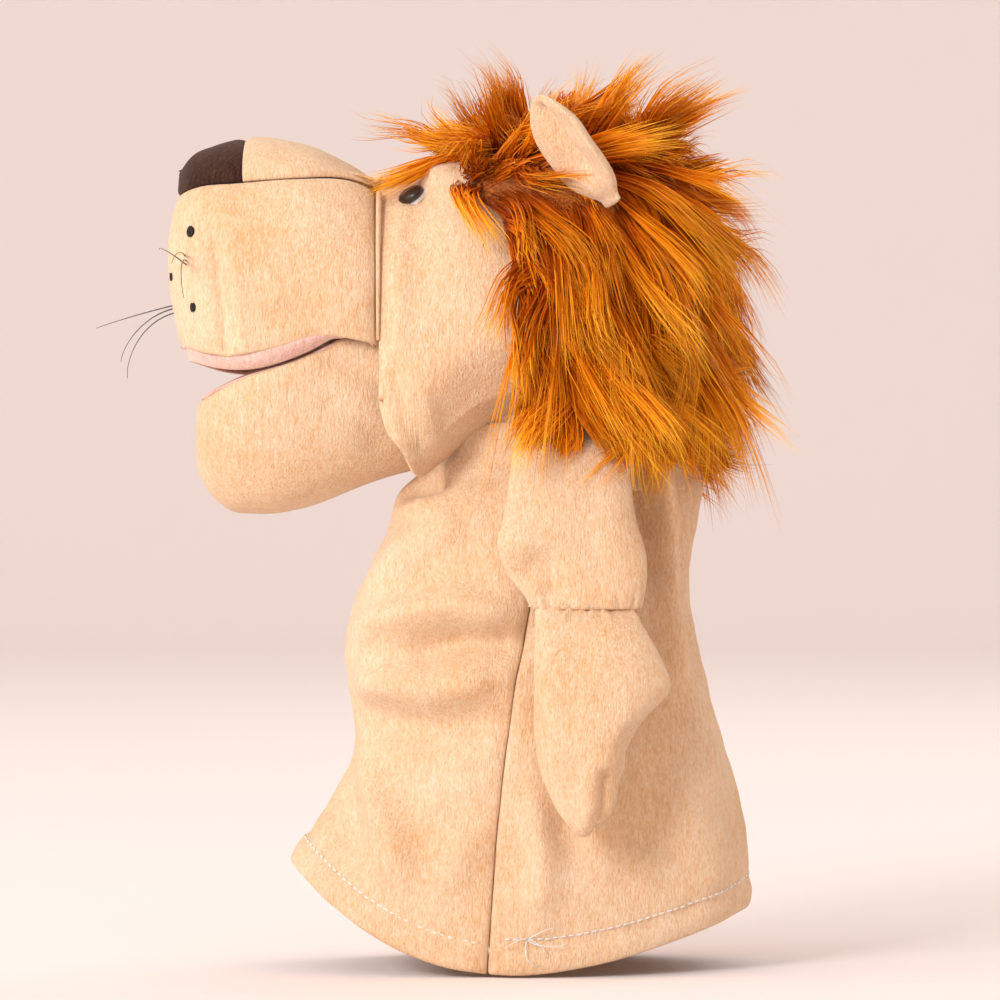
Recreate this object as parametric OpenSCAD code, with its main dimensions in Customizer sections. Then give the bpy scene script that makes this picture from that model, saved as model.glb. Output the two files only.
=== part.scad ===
// Plush lion hand puppet with a moving mouth, worn on one hand.
// +Z is up and the face looks along -X, so the puppet's own left side is -Y.
// The origin is the centre of the hand opening, level with the ends of its side seams.

/* [Body sleeve] */
// Height from the hem's side seams to the neck rim
body_h = 156; // [130:1:190]
// Front-to-back length of the hem
hem_l = 152; // [125:1:185]
// Side-to-side width of the hem
hem_w = 84; // [74:1:100]
// How far the hem climbs from the side seams to its front and back
hem_rise = 33; // [10:1:45]
// Front-to-back length of the waist
waist_l = 114; // [100:1:140]
// Side-to-side width of the waist
waist_w = 70; // [66:1:80]
// Thickness of the velour with its pile
cloth = 2.5; // [1.5:0.1:3]
// Height of the turned-up hem's stitch line above the edge
hem_turn = 9; // [6:0.5:14]

/* [Neck] */
// Front-to-back length of the neck collar
neck_l = 78; // [70:1:84]
// Side-to-side width of the neck collar
neck_w = 57; // [50:1:60]
// Running gap between the collar, the rim below it and the head above it
neck_gap = 1.5; // [0.6:0.1:2.5]

/* [Head] */
// Width across the cheeks
head_w = 92; // [88:1:104]
// Height of the cheeks from the throat edge to the crown
head_h = 109; // [100:1:120]
// Length of the cheeks from the muzzle seam to their back edge
cheek_l = 52; // [44:1:58]
// Length of the upper muzzle in front of the cheeks
muzzle_l = 70; // [55:1:84]
// Width of the upper muzzle at its back seam
muzzle_w = 80; // [76:1:84]
// Height of the upper muzzle from the lip to the bridge of the nose
muzzle_h = 73; // [62:1:84]

/* [Mouth] */
// Width of the lower jaw
jaw_w = 65; // [56:1:67]
// Room between each side of the jaw and the cheek beside it
jaw_gap = 5.48; // [3:0.01:8]
// Length of the lower jaw in front of its hinge line
jaw_l = 50; // [42:1:58]
// Depth of the lower jaw below the hinge line
jaw_d = 57; // [50:1:60]
// Angle at which the mouth stands open
gape = 18; // [14:1:24]
// Thickness of the stiff boards in the palate
board = 2; // [1:0.1:2.5]
// Thickness of the pink mouth lining
lining = 1.5; // [0.8:0.1:2]
// Outer height of the finger pocket
finger_h = 17; // [14:0.5:19]
// Outer height of the thumb pocket
thumb_h = 15; // [12:0.5:17]

/* [Mane] */
// Width of the mane over its pile
mane_w = 122; // [116:1:134]
// Thickness of the fur fabric with its combed pile
pile = 11; // [8:0.5:11]

/* [Ears] */
// Length of an ear from base to tip
ear_l = 42; // [34:1:50]
// Width of an ear
ear_w = 27; // [22:1:32]
// Thickness of each of an ear's two layers
ear_t = 2.6; // [1.5:0.1:3.2]

/* [Face] */
// Diameter of an eye
eye_d = 10; // [8:0.5:12]
// Length of the longest whiskers
whisker_l = 48; // [30:1:60]
// Thickness of a whisker
whisker_d = 0.7; // [0.5:0.1:1]

/* [Arms] */
// Front-to-back width of an arm
arm_w = 42; // [34:1:46]
// Thickness of an arm
arm_t = 14; // [11:0.5:16]
// Length of an arm from its shoulder hinge to the wrist stitching
arm_l = 27; // [22:1:34]
// Length of a paw from the wrist stitching to the toes
paw_l = 75; // [60:1:80]
// Front-to-back width of a paw at the thumb
paw_w = 47; // [38:1:54]
// Thickness of a stuffed paw
paw_t = 22; // [16:1:23]
// Gap between a hanging arm and the body
arm_gap = 1.5; // [0.8:0.1:3]

/* [Hidden] */

cream = [0.96, 0.83, 0.66];
mane_gold = [0.80, 0.45, 0.10];
nose_brown = [0.29, 0.16, 0.12];
lining_pink = [0.93, 0.78, 0.72];
fill_white = [0.95, 0.94, 0.91];
card_grey = [0.62, 0.60, 0.56];
thread_white = [0.97, 0.95, 0.90];
eye_black = [0.08, 0.05, 0.05];

slack = 0.6;            // clearance round a piece that sits inside another
thread_r = 0.4;         // radius of sewing thread
far = 400;              // longer than the whole puppet

// Neck centre, about which the head nods, and the underside of the head
neck_x = 12;
neck_z = body_h - 6;
head_z = neck_z + 14;
neck_rise = head_z - neck_gap - neck_z;

// Seam between muzzle and cheeks, and the fold at the mouth's corners
seam_x = neck_x - 59;
hinge_x = seam_x - 11;
hinge_z = head_z + 43;
lip_z = hinge_z - 4;
bridge_z = lip_z + 0.77 * muzzle_h;

// Boards and linings lie this far above the lip and below the hinge line
lining_z = hinge_z + 0.2;
board_z = lining_z + lining + 0.2;
pocket_z = board_z + board + 0.3;
jaw_x = hinge_x - 4;
jaw_z = hinge_z - 2;

// Shares of the sleeve's height, with its front, back and half width there
sleeve_rows = [
    [0.00, -hem_l / 2 - 1, hem_l / 2, hem_w / 2],
    [0.10, -hem_l / 2 + 4, hem_l / 2 - 1, hem_w / 2 - 1.5],
    [0.20, -waist_l / 2 - 8, hem_l / 2 - 3, waist_w / 2 + 4.5],
    [0.30, -waist_l / 2 - 1, waist_l / 2 + 14, waist_w / 2 + 3.5],
    [0.40, -waist_l / 2 + 2, waist_l / 2 + 11, waist_w / 2 + 2.5],
    [0.50, -waist_l / 2 + 1, waist_l / 2 + 8, waist_w / 2 + 1.5],
    [0.60, -waist_l / 2 - 0.5, waist_l / 2 + 4, waist_w / 2 + 1],
    [0.70, -waist_l / 2 + 0.5, waist_l / 2 + 1, waist_w / 2 + 0.5],
    [0.80, -waist_l / 2 + 4, waist_l / 2 + 0.5, waist_w / 2],
    [0.90, -waist_l / 2 + 10.5, waist_l / 2 + 1, waist_w / 2 - 0.5],
    [0.96, -waist_l / 2 + 15, waist_l / 2 + 0.5, waist_w / 2 - 1],
    [1.00, neck_x - neck_l / 2 - cloth - neck_gap, neck_x + neck_l / 2 + cloth + neck_gap,
        neck_w / 2 + cloth + neck_gap]
];

// Shares of the muzzle's length, half width and height, and how far its lip climbs
muzzle_rows = [
    [1.000, 0.35, 0.64, 9], [0.964, 0.55, 0.74, 5], [0.906, 0.70, 0.87, 2.5],
    [0.820, 0.825, 0.938, 1], [0.705, 0.91, 0.986, 0], [0.561, 0.95, 1.0, 0.5],
    [0.374, 0.975, 0.973, 3], [0.187, 0.99, 0.89, 8], [0.000, 1.0, 0.795, 10]
];

// Shares of the jaw's length and half width, and of its depth below the hinge line
jaw_rows = [
    [1.00, 0.33, 0.74], [0.95, 0.56, 0.84], [0.87, 0.75, 0.94], [0.75, 0.89, 0.987],
    [0.64, 0.96, 1.0], [0.30, 0.99, 0.954], [0.00, 1.0, 0.865], [-0.30, 0.99, 0.78]
];

// Shares of the cheeks' length, half width and height, and how far their bottom edge climbs
cheek_rows = [
    [0.00, 0.88, 0.890, 25], [0.12, 0.935, 0.917, 10], [0.30, 0.98, 0.945, 1],
    [0.60, 1.0, 0.972, 0], [1.00, 1.0, 1.0, 0]
];
cheek_mid = 0.44 * head_h;

// Along the mane from its lower edge to the crown: half width, back reach and front reach
mane_x = neck_x + 6;
mane_reach = 62;
mane_top = head_z + head_h + 8 + pile;
mane_sides = [[0, -7], [0.25, -2], [0.45, 0], [0.6, -1], [0.7, -5], [0.78, -11],
    [0.84, -18], [0.9, -27], [0.95, -37], [1, -58]];
mane_backs = [[0, -2], [0.25, 1], [0.45, 2], [0.6, 0], [0.7, -4], [0.78, -10],
    [0.84, -17], [0.9, -26], [0.95, -36], [1, -59]];
mane_fronts = [[0, 0], [0.82, 0], [0.86, -3], [0.9, -8], [0.95, -22], [1, -58]];
mane_edge = [[0, 110], [0.6, 110], [0.7, 121], [0.78, 142], [0.83, 166], [0.86, 180], [1, 180]];
mane_steps = [0, 0.12, 0.25, 0.36, 0.46, 0.55, 0.62, 0.68, 0.73, 0.78, 0.82, 0.86,
    0.9, 0.94, 0.97, 1];
back_half = 20;

// Shoulder hinge line and wrist stitching of the arm on the +Y side
shoulder_x = 17;
shoulder_y = waist_w / 2 + arm_gap + arm_t / 2;
shoulder_z = neck_z - 2;
wrist_y = shoulder_y + 2;
wrist_z = shoulder_z - arm_l;
paw_y = max(wrist_y + 4, waist_w / 2 + 4.5 + arm_gap + paw_t / 2);

// Height above (or below) the shoulder, half width share and half thickness share
arm_rows = [
    [6.5, 0.70, 0.30], [4.5, 0.88, 0.74], [0, 0.95, 1.0], [-8, 1.0, 1.0],
    [-0.67 * arm_l, 0.98, 0.9], [-0.84 * arm_l, 0.92, 0.62], [-arm_l + 1, 0.86, 0.42]
];

// Shares of the paw's length, front edge, back edge and half thickness
paw_rows = [
    [0.013, 0.10, 0.66, 0.06], [0.055, 0.05, 0.74, 0.30], [0.11, 0.02, 0.84, 0.60],
    [0.20, 0.0, 0.96, 0.88], [0.34, 0.0, 1.0, 1.0], [0.47, 0.01, 0.87, 1.0],
    [0.57, 0.02, 0.77, 0.95], [0.70, 0.04, 0.70, 0.86], [0.83, 0.12, 0.63, 0.70],
    [0.93, 0.24, 0.55, 0.46], [0.985, 0.34, 0.46, 0.2]
];
paw_x = shoulder_x - 14.5;

// Base of the ear on the -Y side, and how it turns to the front and leans outwards
ear_base = [mane_x + 12, -mane_w / 2 + 9, head_z + 0.81 * head_h];
ear_turn = [37, -13.9, -61.4];
ear_root = 2;
ear_fold = 32;          // how far the slot in the mane lets the ear fold forwards

// Centre of the eye on the -Y side, and the way it looks
eye_at = [seam_x + 9, -0.30 * head_w, head_z + 0.87 * head_h];
eye_look = [0, -50, 38];

// Rows of points joined into faces: quads between neighbouring rows and columns
function cells(rows, columns, closed, start, turned) = [
    for (i = [0 : rows - 2], j = [0 : columns - (closed ? 1 : 2)])
        let (a = start + i * columns + j,
             b = start + i * columns + (j + 1) % columns,
             c = a + columns,
             d = b + columns)
        each turned ? [[a, d, b], [a, c, d]] : [[a, b, d], [a, d, c]]
];

// Quads between two matching edges given as lists of point numbers. Neighbouring walls
// meet in one surface because both cut each quad along the same diagonal.
function ribbon(one, other, closed, crossed = false) = [
    for (k = [0 : len(one) - (closed ? 1 : 2)])
        let (n = (k + 1) % len(one))
        each crossed
            ? [[one[k], one[n], other[k]], [one[n], other[n], other[k]]]
            : [[one[k], one[n], other[n]], [one[k], other[n], other[k]]]
];

function backwards(list) = [for (k = [len(list) - 1 : -1 : 0]) list[k]];

function flat(rows) = [for (row = rows) each row];

// A curved wall of cloth between two matching grids of points. Seen from outside, rows run
// from left to right where columns run upwards. A closed wall is a tube, and a capped one
// has its first row filled in.
module wall(outer, inner, closed = false, capped = false) {
    rows = len(outer);
    columns = len(outer[0]);
    under = rows * columns;
    first = [for (j = [0 : columns - 1]) j];
    last = [for (j = [0 : columns - 1]) (rows - 1) * columns + j];
    left = [for (i = [0 : rows - 1]) i * columns];
    right = [for (i = [0 : rows - 1]) i * columns + columns - 1];
    polyhedron(
        points = concat(flat(outer), flat(inner)),
        faces = concat(
            cells(rows, columns, closed, 0, false),
            cells(rows, columns, closed, under, true),
            capped ? [backwards(first), [for (j = first) under + j]]
                : ribbon([for (j = first) under + j], first, closed),
            ribbon(last, [for (j = last) under + j], closed),
            closed ? [] : ribbon(left, [for (i = left) under + i], false),
            closed ? [] : ribbon([for (i = right) under + i], right, false, crossed = true),
            capped && !closed
                ? [[0, under, under + columns - 1], [0, under + columns - 1, columns - 1]] : []
        )
    );
}

// A filled shape through closed rings of points
module filled(rings) {
    rows = len(rings);
    columns = len(rings[0]);
    polyhedron(
        points = flat(rings),
        faces = concat(
            cells(rows, columns, true, 0, false),
            [backwards([for (j = [0 : columns - 1]) j])],
            [[for (j = [0 : columns - 1]) (rows - 1) * columns + j]]
        )
    );
}

// A round strand through a list of points, its rings lying across the x or the y axis
module strand(points, r, across) {
    sides = 6;
    filled([
        for (p = points) [
            for (k = [0 : sides - 1])
                let (a = 360 * k / sides)
                across == "x" ? p + r * [0, cos(a), sin(a)] : p + r * [cos(a), 0, -sin(a)]
        ]
    ]);
}

// Squared-off arch in the y-z plane, from its foot on the -Y side over to the +Y side
arch_power = 3;
arch_points = 20;

function arch(x, half, foot, top, from = 0) = [
    for (k = [0 : arch_points])
        let (b = from + (180 - 2 * from) * k / arch_points, c = cos(b))
        [x, -half * sign(c) * pow(abs(c), 2 / arch_power),
            foot + (top - foot) * pow(max(sin(b), 0), 2 / arch_power)]
];

// Angle at which an arch is a given share of its height above its foot
function arch_angle(share) = asin(pow(share, arch_power / 2));

module stadium(width, height) {
    square([width - height, height], center = true);
    for (side = [-1, 1]) {
        translate([side * (width - height) / 2, 0]) circle(d = height, $fn = 32);
    }
}

module on_side(side) {
    mirror([0, side == "right" ? 1 : 0, 0]) children();
}

// Keeps what lies on the -Y side, or on the +Y side
module half(side) {
    intersection() {
        children();
        translate([-far / 2, side == "left" ? -far : 0, -far / 2]) cube([far, far, 2 * far]);
    }
}

// Body sleeve

sleeve_columns = 22;

function seam_line(share) = -11 + 23 * share;

function sleeve_z(share, angle) =
    body_h * share + hem_rise * pow(cos(angle) * (1 - share), 2);

function sleeve_point(row, angle, inset) =
    let (seam = seam_line(row[0]),
         reach = (cos(angle) < 0 ? seam - row[1] : row[2] - seam) - inset)
    [seam + reach * cos(angle), (row[3] - inset) * sin(angle), sleeve_z(row[0], angle)];

function sleeve_grid(start, inset) = [
    for (row = backwards(sleeve_rows))
        [for (j = [0 : sleeve_columns])
            sleeve_point(row, start + 180 * j / sleeve_columns, inset)]
];

module body_front_panel() {
    color(cream) wall(sleeve_grid(90, 0), sleeve_grid(90, cloth));
}

module body_back_panel() {
    color(cream) wall(sleeve_grid(-90, 0), sleeve_grid(-90, cloth));
}

// The hem's stitch line, a thread laid on the cloth a little above its edge
module hem_stitching() {
    low = sleeve_rows[0];
    high = sleeve_rows[1];
    part = hem_turn / (body_h * high[0]);
    row = low + (high - low) * part;
    turns = 2 * sleeve_columns;
    color(thread_white)
        wall(
            [for (h = [1, 0]) [for (j = [0 : turns - 1])
                sleeve_point(row, 360 * j / turns, -2 * thread_r - 0.05)
                    + [0, 0, h * 2 * thread_r]]],
            [for (h = [1, 0]) [for (j = [0 : turns - 1])
                sleeve_point(row, 360 * j / turns, -0.35)
                    + [0, 0, h * 2 * thread_r]]],
            closed = true
        );
}

// Neck collar: a band of a ball about the neck centre, so that it clears the rim as it nods

function collar_ring(height, inset) =
    let (long = sqrt(pow(neck_l / 2, 2) - pow(height, 2)) - inset,
         wide = neck_w / neck_l * sqrt(pow(neck_l / 2, 2) - pow(height, 2)) - inset)
    [for (j = [0 : 35])
        [neck_x + long * cos(10 * j), wide * sin(10 * j), neck_z + height]];

collar_heights = [for (k = [0 : 4]) neck_rise - (neck_rise + 4) * k / 4];

module neck_collar() {
    color(cream)
        wall(
            [for (h = collar_heights) collar_ring(h, 0)],
            [for (h = collar_heights) collar_ring(h, cloth)],
            closed = true
        );
}

// Upper muzzle

function muzzle_x(row, inset) =
    seam_x - (muzzle_l - inset) * row[0];

function muzzle_grid(inset) = [
    for (row = muzzle_rows)
        arch(muzzle_x(row, inset), muzzle_w / 2 * row[1] - inset,
            lip_z + row[3], lip_z + muzzle_h * row[2] - inset)
];

module muzzle_skin() {
    wall(muzzle_grid(0), muzzle_grid(cloth), capped = true);
}

module below_bridge() {
    translate([-far, -far / 2, bridge_z - far]) cube([2 * far, far, far]);
}

module muzzle_panel(side) {
    color(cream) half(side) intersection() {
        muzzle_skin();
        below_bridge();
    }
}

module left_muzzle_panel() {
    muzzle_panel("left");
}

module right_muzzle_panel() {
    muzzle_panel("right");
}

nose_l = 0.35 * muzzle_l;
nose_back = seam_x - muzzle_l + nose_l;

module nose_bridge_panel() {
    color(cream) difference() {
        muzzle_skin();
        below_bridge();
        translate([nose_back - far, -far / 2, 0]) cube([far, far, far]);
    }
}

module nose() {
    color(nose_brown) difference() {
        muzzle_skin();
        below_bridge();
        translate([nose_back, -far / 2, 0]) cube([far, far, far]);
    }
}

module muzzle_stuffing() {
    floor_z = pocket_z + finger_h + slack;
    rows = [for (k = [2 : 7]) muzzle_rows[k]];
    color(fill_white)
        filled([
            for (row = rows)
                let (foot = lip_z + row[3],
                     top = lip_z + muzzle_h * row[2] - cloth - slack)
                arch(muzzle_x(row, cloth) + slack, muzzle_w / 2 * row[1] - cloth - slack,
                    foot, top, arch_angle((floor_z - foot) / (top - foot)))
        ]);
}

// Palate boards, linings and pockets of the mouth

module muzzle_outline() {
    side = [for (k = [1 : 7]) let (row = muzzle_rows[k])
        [muzzle_x(row, cloth) + slack, muzzle_w / 2 * row[1] - cloth - slack]];
    polygon(concat(side, [for (p = backwards(side)) [p[0], -p[1]]]));
}

module upper_palate_board() {
    color(card_grey) translate([0, 0, board_z]) linear_extrude(board) muzzle_outline();
}

module upper_mouth_lining() {
    color(lining_pink) translate([0, 0, lining_z]) linear_extrude(lining) muzzle_outline();
}

// A flat pocket open towards +X, with its closed end at the origin
module pocket(width, height, length) {
    rotate([90, 0, 90]) {
        linear_extrude(cloth) stadium(width, height);
        translate([0, 0, cloth]) linear_extrude(length - cloth) difference() {
            stadium(width, height);
            stadium(width - 2 * cloth, height - 2 * cloth);
        }
    }
}

module finger_pocket() {
    length = 0.6 * muzzle_l;
    color(cream)
        translate([hinge_x - length, 0, pocket_z + finger_h / 2])
            pocket(muzzle_w * 0.7, finger_h, length);
}

// Lower jaw

function jaw_row_x(row, inset) = jaw_x - (jaw_l - 4 - inset) * row[0];

function jaw_rim(x) = jaw_z - tan(gape) * max(jaw_x - x, 0);

// In front the jaw has its own width, and behind the mouth it fits in between the cheeks
function jaw_half(row) = row[1] * (row[0] > 0
    ? jaw_w / 2
    : head_w / 2 * cheek_rows[0][1] - cloth - jaw_gap);

function jaw_grid(inset) = [
    for (row = jaw_rows)
        let (x = jaw_row_x(row, inset))
        arch(x, jaw_half(row) - inset, jaw_rim(x), hinge_z - jaw_d * row[2] + inset)
];

module jaw_panel(side) {
    color(cream) half(side)
        wall([for (row = jaw_grid(0)) backwards(row)],
            [for (row = jaw_grid(cloth)) backwards(row)], capped = true);
}

module left_jaw_panel() {
    jaw_panel("left");
}

module right_jaw_panel() {
    jaw_panel("right");
}

thumb_pocket_drop = lining + board + 0.8;

module jaw_stuffing() {
    drop = (thumb_pocket_drop + thumb_h + slack) / cos(gape) + 1;
    rows = [for (k = [2 : 6]) jaw_rows[k]];
    color(fill_white)
        filled([
            for (row = rows)
                let (x = jaw_row_x(row, cloth) + slack,
                     foot = jaw_rim(x),
                     low = hinge_z - jaw_d * row[2] + cloth + slack)
                backwards(arch(x, jaw_half(row) - cloth - slack, foot, low,
                    arch_angle(drop / (foot - low))))
        ]);
}

// Turns a piece about the mouth's fold so that it lies along the open jaw
module along_jaw() {
    translate([jaw_x, 0, jaw_z]) rotate([0, -gape, 0]) children();
}

module jaw_outline() {
    side = [for (k = [1 : 6]) let (row = jaw_rows[k])
        [(jaw_row_x(row, cloth) + slack - jaw_x) / cos(gape),
            jaw_half(row) - cloth - slack]];
    polygon(concat(side, [for (p = backwards(side)) [p[0], -p[1]]]));
}

module lower_mouth_lining() {
    color(lining_pink) along_jaw()
        translate([0, 0, -lining - 0.2]) linear_extrude(lining) jaw_outline();
}

module lower_palate_board() {
    color(card_grey) along_jaw()
        translate([0, 0, -lining - board - 0.4]) linear_extrude(board) jaw_outline();
}

module thumb_pocket() {
    length = 0.8 * jaw_l;
    color(cream) along_jaw()
        translate([-length, 0, -thumb_pocket_drop - thumb_h / 2])
            pocket(jaw_w * 0.68, thumb_h, length);
}

// Cheeks and crown

function cheek_section(x, half, foot, top) = concat(
    [for (k = [0 : 4])
        let (z = foot + (head_z + cheek_mid - foot) * k / 5,
             drop = (head_z + cheek_mid - z) / (1.6 * cheek_mid))
        [x, -half * sqrt(1 - drop * drop), z]],
    arch(x, half, head_z + cheek_mid, top),
    [for (k = [4 : -1 : 0])
        let (z = foot + (head_z + cheek_mid - foot) * k / 5,
             drop = (head_z + cheek_mid - z) / (1.6 * cheek_mid))
        [x, half * sqrt(1 - drop * drop), z]]
);

function cheek_grid(inset) = [
    for (row = cheek_rows)
        cheek_section(seam_x + 0.3 + cheek_l * row[0], head_w / 2 * row[1] - inset,
            head_z + 1 + row[3], head_z + head_h * row[2] - inset)
];

module cheek_panel(side) {
    color(cream) half(side) wall(cheek_grid(0), cheek_grid(cloth));
}

module left_cheek_panel() {
    cheek_panel("left");
}

module right_cheek_panel() {
    cheek_panel("right");
}

module crown_stuffing() {
    low = head_z + 0.76 * head_h;
    color(fill_white)
        filled([
            for (p = [[0.25, 14, 0.87], [0.36, 22, 0.905], [0.6, 26, 0.93], [1, 26, 0.95],
                    [1.4, 24, 0.95], [1.6, 16, 0.92]])
                arch(seam_x + cheek_l * p[0], p[1], low, head_z + head_h * p[2])
        ]);
}

// Mane

function mane_low(angle) =
    let (t = min(max((abs(angle) - 38) / 30, 0), 1))
    head_z - 5 + 20 * t * t * (3 - 2 * t);

function mane_point(t, angle, inset) =
    let (wide = max(mane_w / 2 + lookup(t, mane_sides) - inset, 1.5),
         back = max(mane_reach + lookup(t, mane_backs) - 3 - inset, 1.5),
         front = max(mane_reach + lookup(t, mane_fronts) - inset, 1.5),
         low = mane_low(angle))
    [mane_x + (cos(angle) > 0 ? back : front) * cos(angle), wide * sin(angle),
        low + (mane_top - inset - low) * t];

// Columns run from the back panel's seam round to the face, where the pile thins out
mane_columns = 14;
thin_edge = 0.45;

function mane_side_grid(inset) = [
    for (t = mane_steps)
        [for (j = [0 : mane_columns])
            let (turn = (lookup(t, mane_edge) - back_half) * j / mane_columns,
                 thin = 1 - (1 - thin_edge) * pow(j / mane_columns, 2))
            mane_point(t, -back_half - turn, inset * thin)]
];

function mane_back_grid(inset) = [
    for (t = mane_steps)
        [for (j = [0 : 4]) mane_point(t, back_half * (1 - j / 2), inset)]
];

module left_mane_panel() {
    color(mane_gold) difference() {
        wall(mane_side_grid(0), mane_side_grid(pile));
        ear_slot();
    }
}

module right_mane_panel() {
    on_side("right") left_mane_panel();
}

module back_mane_panel() {
    color(mane_gold)
        wall(mane_back_grid(0), mane_back_grid(pile));
}

// Ears

// The slot in the mane that an ear comes out of, with room for it to fold forwards
module ear_slot() {
    half_slot = ear_t + 1;
    tall = 2 * ear_l;
    translate(ear_base) rotate(ear_turn)
        translate([-ear_w / 2 - 1.5, 0, 0]) rotate([90, 0, 90]) linear_extrude(ear_w + 3) polygon([
            [half_slot, -1], [half_slot, tall],
            [-half_slot - tall * tan(ear_fold), tall], [-half_slot, -1]
        ]);
}

module ear_layer(side, from) {
    points = 20;
    on_side(side) translate(ear_base) rotate(ear_turn)
        rotate([90, 0, 0]) translate([0, 0, from]) linear_extrude(ear_t) polygon([
            for (k = [0 : points - 1])
                let (a = 360 * k / points)
                [ear_w / 2 * sin(a) * (1 + 0.12 * cos(a)), ear_l / 2 * (1 - cos(a)) + ear_root]
        ]);
}

module left_ear_front() {
    color(cream) ear_layer("left", 0);
}

module left_ear_back() {
    color(cream) ear_layer("left", -ear_t);
}

module right_ear_front() {
    color(cream) ear_layer("right", 0);
}

module right_ear_back() {
    color(cream) ear_layer("right", -ear_t);
}

// Eyes: a domed button with a shank through the cloth, and the washer behind it

eye_shank_d = 3;
eye_shank_l = 7;
eye_dome_h = 3;

module eye_frame(side) {
    on_side(side) translate(eye_at) rotate(eye_look) children();
}

module eye(side) {
    ball = (pow(eye_d / 2, 2) + pow(eye_dome_h, 2)) / (2 * eye_dome_h);
    color(eye_black) eye_frame(side) {
        intersection() {
            translate([0, 0, eye_dome_h - ball]) sphere(r = ball, $fn = 48);
            cylinder(d = eye_d, h = eye_dome_h + 1, $fn = 48);
        }
        translate([0, 0, -eye_shank_l]) cylinder(d = eye_shank_d, h = eye_shank_l + 0.5, $fn = 24);
    }
}

module eye_washer(side) {
    color(fill_white) eye_frame(side)
        translate([0, 0, -eye_shank_l + 0.8]) difference() {
            cylinder(d = eye_d, h = 1.2, $fn = 32);
            translate([0, 0, -1]) cylinder(d = eye_shank_d + 0.1, h = 4, $fn = 24);
        }
}

module left_eye() {
    eye("left");
}

module right_eye() {
    eye("right");
}

module left_eye_washer() {
    eye_washer("left");
}

module right_eye_washer() {
    eye_washer("right");
}

// Whiskers and their spots

whisker_x = seam_x - 0.9 * muzzle_l;
whisker_root = [whisker_x, -0.325 * muzzle_w, lip_z + 0.42 * muzzle_h];
whisker_rings = 6;

// A whisker leaves along its first direction and droops towards its second
module whisker(root, out, droop, along) {
    strand([
        for (k = [0 : whisker_rings])
            let (t = k / whisker_rings)
            root + whisker_l * (t * out + t * t * droop)
    ], whisker_d / 2, along);
}

module left_whiskers() {
    color(eye_black) {
        whisker(whisker_root, [-0.04, -0.95, 0.02], [0, 0, -0.08], "y");
        whisker(whisker_root + [-1.5, 0, -4], [-0.02, -0.92, 0.0], [0.02, 0, -0.12], "y");
        whisker(whisker_root + [-0.5, 0, -8], [0.02, -0.88, -0.02], [0.03, 0.05, -0.1], "y");
    }
}

module right_whiskers() {
    root = [whisker_root[0] - 3, -whisker_root[1] - 4, lip_z + 0.27 * muzzle_h];
    color(eye_black) {
        whisker(root, [-0.72, 0.55, -0.16], [-0.02, 0.05, -0.02], "x");
        whisker(root + [0, 1.5, -2.5], [-0.62, 0.55, -0.05], [0.08, 0.1, -0.27], "x");
        whisker(root + [0.5, 3, -5], [-0.52, 0.6, -0.05], [0.02, 0.1, -0.3], "x");
    }
}

spot_d = 3;
spot_t = 0.8;

// Places of the spots on the -Y side: along the muzzle, across it and up it
spot_places = [[0.9, 0.35, 0.53], [0.9, 0.353, 0.20], [0.995, 0.13, 0.36]];

module whisker_spots(side) {
    color(eye_black) on_side(side)
        for (place = spot_places) {
            translate([seam_x - place[0] * muzzle_l, -place[1] * muzzle_w,
                lip_z + place[2] * muzzle_h])
                rotate([90, 0, -40]) translate([0, 0, 0.4]) cylinder(d = spot_d, h = spot_t, $fn = 20);
        }
}

module left_whisker_spots() {
    whisker_spots("left");
}

module right_whisker_spots() {
    whisker_spots("right");
}

// Arms and paws, drawn on the +Y side

function oval(x, y, z, long, wide) = [
    for (j = [0 : 27])
        let (a = 360 * j / 28, c = cos(a), s = sin(a))
        [x + long * sign(c) * pow(abs(c), 0.8), y + wide * sign(s) * pow(abs(s), 0.8), z]
];

function arm_rings(inset) = [
    for (row = arm_rows)
        let (drop = min(row[0] / -arm_l, 1))
        oval(shoulder_x + 3 * max(drop, 0), shoulder_y + max(drop, 0) * (wrist_y - shoulder_y),
            shoulder_z + row[0] - (row[0] > 0 ? inset : 0),
            arm_w / 2 * row[1] - inset, max(arm_t / 2 * row[2] - inset, 0.3))
];

module arm_sleeve(side) {
    color(cream) mirror([0, side == "left" ? 1 : 0, 0])
        wall(arm_rings(0), arm_rings(cloth), closed = true, capped = true);
}

module left_arm_sleeve() {
    arm_sleeve("left");
}

module right_arm_sleeve() {
    arm_sleeve("right");
}

module wrist_stitching(side) {
    reach = arm_w * 0.72;
    apart = arm_t / 2 * 0.62 + thread_r;
    color(thread_white) mirror([0, side == "left" ? 1 : 0, 0])
        for (face = [-1, 1]) {
            translate([shoulder_x + 3 - reach / 2, wrist_y + face * apart, wrist_z + 2])
                rotate([0, 90, 0]) cylinder(r = thread_r, h = reach, $fn = 16);
        }
}

module left_wrist_stitching() {
    wrist_stitching("left");
}

module right_wrist_stitching() {
    wrist_stitching("right");
}

function paw_rings(inset) = [
    for (row = paw_rows)
        let (front = paw_x + paw_w * row[1] + inset,
             back = paw_x + paw_w * row[2] - inset,
             drop = min(row[0] / 0.34, 1))
        oval((front + back) / 2, wrist_y + drop * (paw_y - wrist_y),
            wrist_z - paw_l * row[0] + (row[0] > 0.9 ? inset : 0),
            (back - front) / 2, max(paw_t / 2 * row[3] - inset, 0.2))
];

module paw_shell(side) {
    color(cream) mirror([0, side == "left" ? 1 : 0, 0])
        difference() {
            filled(paw_rings(0));
            paw_core(0);
        }
}

module paw_core(inset) {
    rings = paw_rings(cloth + inset);
    filled([for (k = [2 : 9]) rings[k]]);
}

module left_paw_shell() {
    paw_shell("left");
}

module right_paw_shell() {
    paw_shell("right");
}

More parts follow.
